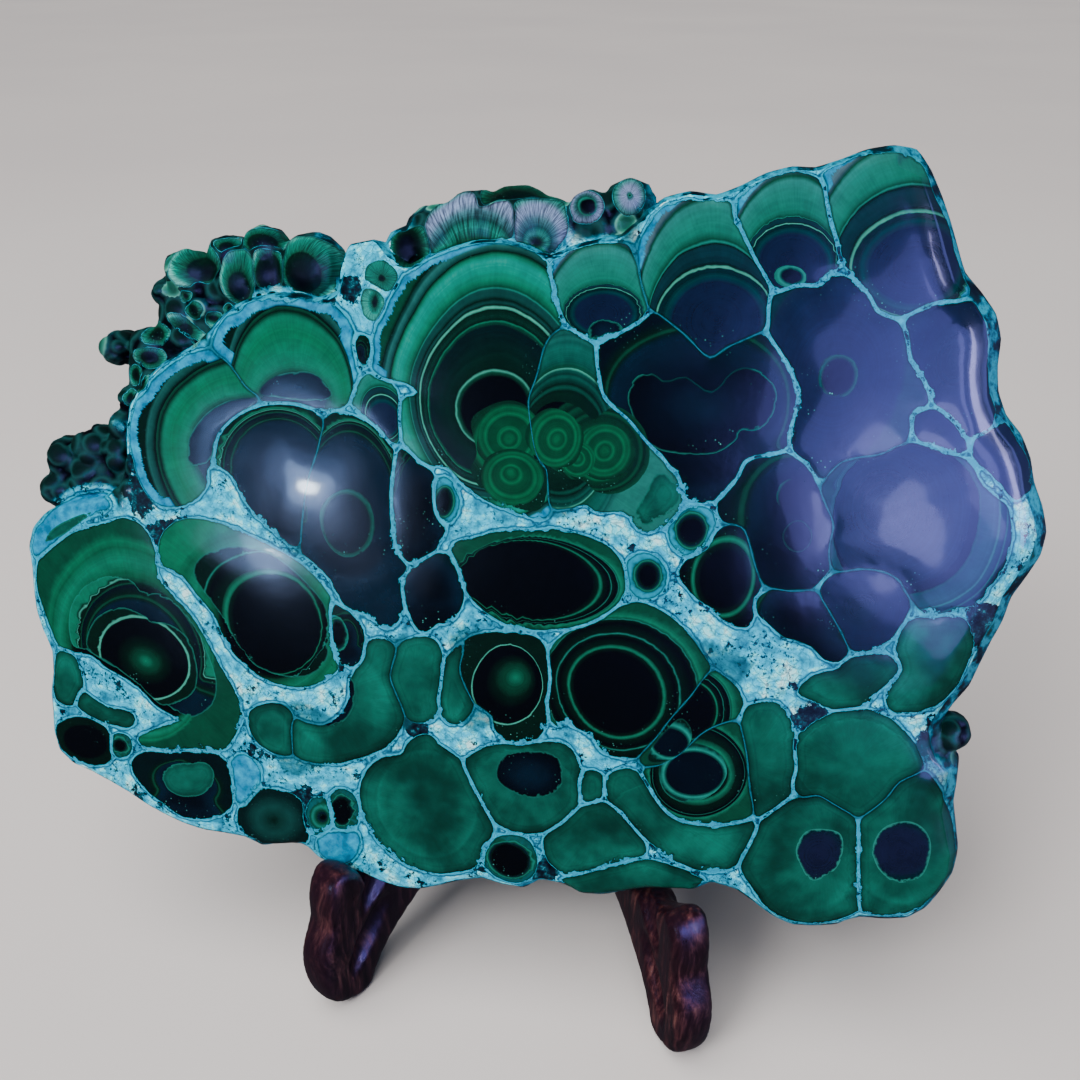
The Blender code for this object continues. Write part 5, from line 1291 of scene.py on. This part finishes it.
def edge_lines(tree, colour, place, edge, number, nested, by_seam):
    """A thin bright line along the edge, a dark one inside it, and a fuzzy outline round dark spots."""
    ragged = calc(tree, "MULTIPLY_ADD", speckle(tree, place, 900.0, 2.0), 0.3, -0.15)
    edge = calc(tree, "ADD", edge, ragged)
    dark = between(tree, edge, 0.12, 0.45, 0.7, 0.0)
    dark = calc(tree, "MULTIPLY", dark, calc(tree, "SUBTRACT", 1.0, nested))
    colour = blend(tree, dark, colour, DARK_GREEN)
    width = calc(tree, "MULTIPLY_ADD", nested, 0.25, 0.10)
    bright = between(tree, edge, 0.02, width, 0.6, 0.0)
    eye = calc(tree, "MAXIMUM", is_kind(tree, number, EYE), is_kind(tree, number, HALO))
    bright = calc(tree, "MULTIPLY", bright, calc(tree, "SUBTRACT", 1.0, eye))
    bright = calc(tree, "MULTIPLY", bright, calc(tree, "MULTIPLY_ADD", by_seam, -0.75, 1.0))
    colour = blend(tree, bright, colour, blend(tree, nested, PALE_AQUA, (0.004, 0.160, 0.120)))
    fuzz = calc(tree, "ADD", speckle(tree, place, 1300.0, 3.0, 0.6), calc(tree, "SUBTRACT", edge, 0.5))
    fuzz = between(tree, fuzz, 0.05, 0.45, 0.7, 0.0)
    fuzz = calc(tree, "MULTIPLY", fuzz, is_kind(tree, number, SPOT))
    return blend(tree, fuzz, colour, (0.015, 0.22, 0.17))


def banded_nodule_group():
    """The colour inside a nodule, from the direction and stage of growth and the distance to its edge."""
    tree, start, end = group(
        "banded nodule",
        [("Growth", "Vector"), ("Edge", "Float"), ("Kind", "Float"), ("Nested", "Float"),
         ("Seam", "Float"), ("Place", "Vector")],
        [("Color", "Color"), ("Matt", "Float")])
    growth, edge, kind, nested, by_seam, place = start.outputs[:6]
    stage = put(tree, "VectorMath", {0: growth}, operation="LENGTH").outputs["Value"]
    heading = put(tree, "VectorMath", {0: growth}, operation="NORMALIZE").outputs[0]
    number = calc(tree, "FLOOR", kind)
    seed = calc(tree, "FRACT", kind)
    # Rings waver a little, and run closer and wider by turns.
    waver = calc(tree, "MULTIPLY_ADD", speckle(tree, place, 260.0, 3.0), 0.022, -0.011)
    stage = calc(tree, "ADD", stage, waver)
    # The outer rings of the navy nodules run out on their low side.
    low_side = put(tree, "SeparateXYZ", {0: growth}).outputs[1]
    run_out = between(tree, low_side, -0.6, -0.2, 0.4, 0.0)
    run_out = calc(tree, "MULTIPLY", run_out, is_kind(tree, number, NAVY))
    stage = calc(tree, "SUBTRACT", stage, run_out)
    plain = is_kind(tree, number, PLAIN)
    lump = is_either(tree, number, DOME, BUMP)
    spokes = put(tree, "VectorMath", {0: heading, 3: 9.0}, operation="SCALE").outputs[0]
    spokes = put(tree, "VectorMath", {0: spokes, 1: growth}, operation="ADD").outputs[0]
    colour = ring_colours(tree, stage, number)
    colour = shaded(tree, colour, fine_rings(tree, place, stage, seed, plain))
    colour = shaded(tree, colour, fibres(tree, spokes, lump))
    colour = shaded(tree, colour, green_clouds(tree, place, edge, plain))
    blue = ramp(tree, speckle(tree, place, 500.0, 4.0, 0.6), [
        (0.35, (0.0, 0.12, 0.24)), (0.5, (0.0, 0.22, 0.42)), (0.6, (0.0, 0.30, 0.52)),
        (0.7, (0.0, 0.42, 0.66))])
    skin = blue_skin(tree, spokes, stage, edge, number)
    colour = blend(tree, calc(tree, "MAXIMUM", skin, is_kind(tree, number, BLUE)), colour, blue)
    colour = blend(tree, crumbs(tree, place, edge, low_side, colour), colour, (0.07, 0.42, 0.36))
    colour = edge_lines(tree, colour, place, edge, number, nested, by_seam)
    tree.links.new(colour, end.inputs["Color"])
    tree.links.new(lump, end.inputs["Matt"])
    return tree


def new_material(name):
    material = bpy.data.materials.new(name)
    material.use_nodes = True
    tree = material.node_tree
    for node in list(tree.nodes):
        if node.type == "BSDF_PRINCIPLED":
            shader = node
    return material, tree, shader


def vein_colour(tree, place, distance, patch):
    """Chrysocolla between the nodules: bright along them, a dark line, then milky with dark specks."""
    cloud = speckle(tree, place, 420.0, 4.0, 0.62)
    wide = speckle(tree, place, 110.0, 2.0)
    mixed = calc(tree, "MULTIPLY_ADD", cloud, 0.7, calc(tree, "MULTIPLY", wide, 0.3))
    colour = ramp(tree, mixed, [
        (0.33, (0.0, 0.10, 0.18)), (0.40, (0.0, 0.26, 0.42)), (0.45, (0.0, 0.42, 0.64)),
        (0.50, (0.01, 0.56, 0.85)), (0.56, (0.12, 0.86, 1.0)), (0.64, (0.55, 1.0, 1.0))])
    wavy = calc(tree, "ADD", distance, calc(tree, "SUBTRACT", speckle(tree, place, 650.0, 4.0), 0.5))
    between_lines = ramp(tree, calc(tree, "MULTIPLY", wavy, 0.5), [
        (0.0, (0.0, 0.30, 0.48)), (0.08, (0.0, 0.44, 0.66)), (0.14, (0.0, 0.20, 0.33)),
        (0.2, (0.0, 0.035, 0.075)), (0.26, (0.0, 0.20, 0.34))])
    colour = blend(tree, between(tree, wavy, 0.45, 0.75), between_lines, colour)
    # Cracks between grains, and lines that follow the edges.
    bend = speckle(tree, place, 500.0, 4.0, 0.6)
    bend, rise = calc(tree, "MULTIPLY", bend, 0.0022), calc(tree, "MULTIPLY", cloud, 0.0022)
    bent = put(tree, "CombineXYZ", {0: bend, 2: rise}).outputs[0]
    bent = put(tree, "VectorMath", {0: place, 1: bent}, operation="ADD").outputs[0]
    grains = put(tree, "TexVoronoi", {"Vector": bent, "Scale": 620.0}, feature="DISTANCE_TO_EDGE")
    crack = between(tree, grains.outputs["Distance"], 0.02, 0.08, 0.55, 0.0)
    crack = calc(tree, "MULTIPLY", crack, between(tree, wide, 0.40, 0.56))
    colour = blend(tree, crack, colour, (0.0, 0.13, 0.22))
    wave = calc(tree, "MULTIPLY_ADD", cloud, 2.6, distance)
    line = between(tree, calc(tree, "SINE", calc(tree, "MULTIPLY", wave, 7.5)), 0.86, 0.98)
    colour = blend(tree, calc(tree, "MULTIPLY", line, 0.6), colour, (0.0, 0.15, 0.28))
    dots = between(tree, speckle(tree, place, 1500.0, 3.0, 0.75), 0.54, 0.59)
    clumps = between(tree, speckle(tree, place, 240.0, 3.0), 0.42, 0.6)
    colour = blend(tree, calc(tree, "MULTIPLY", dots, clumps), colour, (0.0005, 0.020, 0.045))
    worn = calc(tree, "MULTIPLY_ADD", patch, 0.28, speckle(tree, place, 300.0, 5.0, 0.7))
    pits = between(tree, worn, 0.59, 0.62)
    crust = ramp(tree, speckle(tree, place, 900.0, 4.0, 0.7), [
        (0.35, BLACK), (0.5, (0.0005, 0.008, 0.016)), (0.6, (0.002, 0.05, 0.07)),
        (0.7, (0.01, 0.25, 0.30))])
    return blend(tree, pits, colour, crust)


def rim_colour(tree, place, near, tone):
    """The grape-like rim: dark green bubbles with pale skins and black gaps."""
    skin = ramp(tree, near, [
        (0.0, (0.004, 0.05, 0.04)), (0.28, (0.004, 0.10, 0.07)), (0.4, (0.03, 0.22, 0.16)),
        (0.47, (0.10, 0.36, 0.30)), (0.54, (0.004, 0.05, 0.06)), (0.7, (0.0008, 0.004, 0.010))])
    dull = ramp(tree, near, [
        (0.0, (0.001, 0.006, 0.006)), (0.35, (0.001, 0.012, 0.010)), (0.5, (0.004, 0.05, 0.05)),
        (0.7, BLACK)])
    colour = blend(tree, between(tree, tone, 0.35, 0.6), dull, skin)
    blue = between(tree, speckle(tree, place, 160.0, 4.0), 0.58, 0.68)
    blue = calc(tree, "MULTIPLY", blue, calc(tree, "MULTIPLY", tone, 0.7))
    return blend(tree, blue, colour, (0.01, 0.16, 0.24))


def polished_malachite(layer_names):
    material, tree, shader = new_material("polished malachite")
    place = put(tree, "TexCoord").outputs["Object"]
    ground = put(tree, "Attribute", attribute_name="ground")
    parts = put(tree, "SeparateXYZ", {0: ground.outputs["Vector"]})
    distance, rough, near = parts.outputs[0], parts.outputs[1], parts.outputs[2]
    tone = ground.outputs["Alpha"]
    rim = put(tree, "Attribute", attribute_name="rim")
    by_seam = rim.outputs["Alpha"]
    rim = put(tree, "SeparateXYZ", {0: rim.outputs["Vector"]})
    base = vein_colour(tree, place, distance, rim.outputs[1])
    base = blend(tree, calc(tree, "MULTIPLY", by_seam, 0.7), base, (0.0, 0.045, 0.060))
    crust = speckle(tree, place, 240.0, 5.0, 0.65)
    skin = ramp(tree, crust, [
        (0.35, (0.0006, 0.004, 0.008)), (0.45, (0.001, 0.020, 0.028)), (0.50, (0.0, 0.12, 0.20)),
        (0.57, (0.0, 0.35, 0.52)), (0.63, (0.0, 0.20, 0.30)), (0.7, (0.004, 0.05, 0.04))])
    turned = calc(tree, "MULTIPLY_ADD", crust, 0.9, rim.outputs[0])
    base = blend(tree, between(tree, turned, 0.62, 0.95), base, skin)
    base = blend(tree, rough, base, rim_colour(tree, place, near, tone))
    # Chrysocolla eats into the nodules here and there, most of all from below.
    tooth = between(tree, speckle(tree, place, 620.0, 4.0, 0.6), 0.46, 0.66)
    eaten = between(tree, speckle(tree, place, 95.0, 2.0), 0.44, 0.60, 0.12, 1.0)
    eaten = calc(tree, "MULTIPLY", eaten, calc(tree, "MULTIPLY_ADD", by_seam, -0.95, 1.0))
    growth, edge, kind, nested, covered = None, None, None, None, None
    for name in layer_names:
        source = put(tree, "Attribute", attribute_name=name)
        here = put(tree, "SeparateXYZ", {0: source.outputs["Vector"]})
        flat = put(tree, "CombineXYZ", {0: here.outputs[0], 1: here.outputs[1]}).outputs[0]
        level = 0.0 if name.startswith("cell") else 1.0
        below = between(tree, here.outputs[1], -0.7, 0.0, 0.9, 0.32)
        bite = calc(tree, "MULTIPLY", calc(tree, "MULTIPLY", tooth, eaten), below)
        wavy = calc(tree, "SUBTRACT", here.outputs[2], bite)
        inside = calc(tree, "GREATER_THAN", wavy, 0.0)
        if growth is None:
            growth, edge, kind = flat, wavy, source.outputs["Alpha"]
            nested, covered = calc(tree, "MULTIPLY", inside, level), inside
            continue
        growth = blend_vector(tree, inside, growth, flat)
        edge = pick(tree, inside, edge, wavy)
        kind = pick(tree, inside, kind, source.outputs["Alpha"])
        nested = pick(tree, inside, nested, level)
        if level == 0.0:
            covered = calc(tree, "MAXIMUM", covered, inside)
    cell = fill_group(tree, banded_nodule_group(), {
        "Growth": growth, "Edge": edge, "Kind": kind, "Nested": nested, "Seam": by_seam, "Place": place})
    colour = blend(tree, covered, base, cell.outputs["Color"])
    tree.links.new(colour, shader.inputs["Base Color"])
    grit = grit_of(tree, place, 900.0)
    turned = between(tree, rim.outputs[0], 0.0, 0.4)
    matt = calc(tree, "MULTIPLY", cell.outputs["Matt"], covered)
    matt = calc(tree, "MAXIMUM", calc(tree, "MAXIMUM", rough, turned), matt)
    polish = between(tree, grit, 0.3, 0.7, 0.19, 0.21)
    gloss = pick(tree, covered, between(tree, grit, 0.3, 0.7, 0.32, 0.5), polish)
    gloss = calc(tree, "MAXIMUM", gloss, calc(tree, "MULTIPLY", matt, 0.5))
    tree.links.new(gloss, shader.inputs["Roughness"])
    tree.links.new(calc(tree, "MULTIPLY_ADD", matt, -0.25, 0.25), shader.inputs["Coat Weight"])
    strength = calc(tree, "MULTIPLY_ADD", rough, 0.4, 0.05)
    bump = put(tree, "Bump", {"Height": grit, "Strength": strength, "Distance": 0.0002})
    tree.links.new(bump.outputs[0], shader.inputs["Normal"])
    shader.inputs["Specular IOR Level"].default_value = 0.3
    shader.inputs["Specular Tint"].default_value = (0.75, 0.78, 1.0, 1.0)
    shader.inputs["Coat Roughness"].default_value = 0.05
    return material


def blend_vector(tree, factor, first, second):
    inputs = {0: factor, 4: first, 5: second}
    return put(tree, "Mix", inputs, data_type="VECTOR").outputs[1]


def rosewood():
    """Very dark red-brown wood, oiled, with fine lighter grain."""
    material, tree, shader = new_material("dark rosewood")
    place = put(tree, "TexCoord").outputs["Object"]
    along = {"Vector": place, "Rotation": (0.9, 0.5, 0.0), "Scale": (1.0, 1.0, 0.10)}
    turned = put(tree, "Mapping", along).outputs[0]
    bend = calc(tree, "MULTIPLY", speckle(tree, place, 45.0, 2.0), 0.012)
    bend = put(tree, "CombineXYZ", {0: bend}).outputs[0]
    pulled = put(tree, "VectorMath", {0: turned, 1: bend}, operation="ADD").outputs[0]
    grain = speckle(tree, pulled, 800.0, 5.0, 0.65)
    bands = speckle(tree, pulled, 150.0, 3.0)
    colour = ramp(tree, grain, [
        (0.32, (0.006, 0.0018, 0.0034)), (0.48, (0.018, 0.005, 0.008)), (0.58, (0.055, 0.016, 0.019)),
        (0.68, (0.120, 0.045, 0.040))])
    colour = blend(tree, between(tree, bands, 0.42, 0.62, 0.0, 0.75), colour, (0.010, 0.0034, 0.0080))
    tree.links.new(colour, shader.inputs["Base Color"])
    worn = calc(tree, "MULTIPLY_ADD", grit_of(tree, place, 260.0), 0.25, -0.125)
    worn = calc(tree, "ADD", worn, between(tree, grain, 0.3, 0.7, 0.30, 0.46))
    tree.links.new(worn, shader.inputs["Roughness"])
    bump = put(tree, "Bump", {"Height": grain, "Strength": 0.35, "Distance": 0.0003})
    tree.links.new(bump.outputs[0], shader.inputs["Normal"])
    shader.inputs["Specular IOR Level"].default_value = 0.3
    shader.inputs["Specular Tint"].default_value = (0.75, 0.65, 1.0, 1.0)
    shader.inputs["Coat Weight"].default_value = 0.1
    shader.inputs["Coat Roughness"].default_value = 0.18
    return material


def dress(piece, material):
    piece.data.materials.clear()
    piece.data.materials.append(material)


# ---- the room ----

def pale_floor():
    bpy.ops.mesh.primitive_plane_add(size=24.0, location=(0.0, 0.0, 0.0))
    floor = bpy.context.object
    floor.name = "floor"
    material, tree, shader = new_material("pale floor")
    place = put(tree, "TexCoord").outputs["Object"]
    tint = ramp(tree, grit_of(tree, place, 2.0), [(0.3, (0.66, 0.63, 0.63)), (0.7, (0.72, 0.69, 0.68))])
    tree.links.new(tint, shader.inputs["Base Color"])
    shader.inputs["Roughness"].default_value = 0.5
    floor.data.materials.append(material)
    floor.visible_glossy = False


def soft_light(name, place, aim, size, power, colour):
    data = bpy.data.lights.new(name, "AREA")
    data.shape = "ELLIPSE"
    data.size, data.size_y = size
    data.energy = power
    data.color = colour
    lamp = bpy.data.objects.new(name, data)
    lamp.location = place
    lamp.rotation_mode = "QUATERNION"
    lamp.rotation_quaternion = (Vector(aim) - Vector(place)).to_track_quat("-Z", "Y")
    bpy.context.scene.collection.objects.link(lamp)
    return lamp


def sheen_light(name, place, aim, size, power, colour):
    """A light that only shows as a sheen on polished things."""
    soft_light(name, place, aim, size, power, colour).visible_diffuse = False


RIGHT_PART = (0.06, 0.0, 0.09)                  # of the slab, where the window shows
LEFT_PART = (-0.03, 0.0, 0.08)                  # where the lamp shows
RIGHT_SHEENS = [  # name, place, size, power, colour
    ("window", (0.62, -0.95, 0.37), (1.0, 0.72), 12.0, (0.27, 0.28, 1.0)),
    ("window middle", (0.54, -0.98, 0.42), (0.18, 0.40), 1.6, (0.38, 0.37, 1.0)),
    ("window pane", (0.34, -0.99, 0.25), (0.12, 0.20), 0.9, (0.44, 0.44, 1.0)),
    ("side strip", (1.0, -0.75, 0.40), (0.14, 0.8), 9.0, (0.55, 0.52, 1.0)),
    ("side wall", (1.2, -0.2, 0.40), (0.8, 0.8), 9.0, (0.30, 0.32, 1.0)),
]
LEFT_SHEENS = [
    ("lamp", (-0.46, -1.0, 0.21), (0.032, 0.032), 0.6, (0.78, 0.90, 1.0)),
    ("lamp glow", (-0.47, -1.005, 0.22), (0.11, 0.11), 0.7, (0.36, 0.58, 1.0)),
    ("lamp shade", (-0.48, -1.01, 0.24), (0.18, 0.18), 0.28, (0.20, 0.42, 1.0)),
]


def studio_light():
    """A dim room, one broad soft light from above, a lavender window and a small lamp in front."""
    world = bpy.data.worlds.new("room")
    bpy.context.scene.world = world
    world.use_nodes = True
    world.node_tree.nodes["Background"].inputs[0].default_value = (0.70, 0.72, 0.86, 1.0)
    world.node_tree.nodes["Background"].inputs[1].default_value = 0.10
    sky = bpy.data.lights.new("broad soft light", "SUN")
    sky.energy, sky.angle, sky.color = 3.6, math.radians(60), (1.0, 0.965, 0.93)
    lamp = bpy.data.objects.new("broad soft light", sky)
    lamp.rotation_mode = "QUATERNION"
    lamp.rotation_quaternion = Vector((0.25, 0.35, -1.0)).to_track_quat("-Z", "Y")
    lamp.visible_glossy = False
    bpy.context.scene.collection.objects.link(lamp)
    colour = (1.0, 0.97, 0.94)
    fill = soft_light("front fill", (-0.6, -0.9, 0.95), (0.0, 0.0, 0.08), (0.6, 0.6), 13.0, colour)
    fill.visible_glossy = False
    for name, place, size, power, colour in RIGHT_SHEENS:
        sheen_light(name, place, RIGHT_PART, size, power, colour)
    for name, place, size, power, colour in LEFT_SHEENS:
        sheen_light(name, place, LEFT_PART, size, power, colour)


def viewer():
    """The camera, above the front edge and looking down on the face."""
    ahead = Vector((-0.1375, 0.8488, -0.5105)).normalized()
    right = ahead.cross(Vector((0, 0, 1))).normalized()
    above = right.cross(ahead)
    data = bpy.data.cameras.new("camera")
    data.sensor_width, data.lens = 36.0, 34.47
    data.clip_start, data.clip_end = 0.005, 60.0
    camera = bpy.data.objects.new("camera", data)
    turn = Matrix((right, above, -ahead)).transposed().to_4x4()
    camera.matrix_world = Matrix.Translation((0.02908, -0.14184, 0.17194)) @ turn
    bpy.context.scene.collection.objects.link(camera)
    bpy.context.scene.camera = camera


def main():
    slab, layer_names = model_slab()
    dress(slab, polished_malachite(layer_names))
    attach(slab, "root")
    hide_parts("slab")
    wood = rosewood()
    for name in ("left_board", "right_board", "rear_wedge"):
        board = model_board(name)
        dress(board, wood)
        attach(board, "root")
        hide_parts(name)
    pale_floor()
    studio_light()
    viewer()


main()
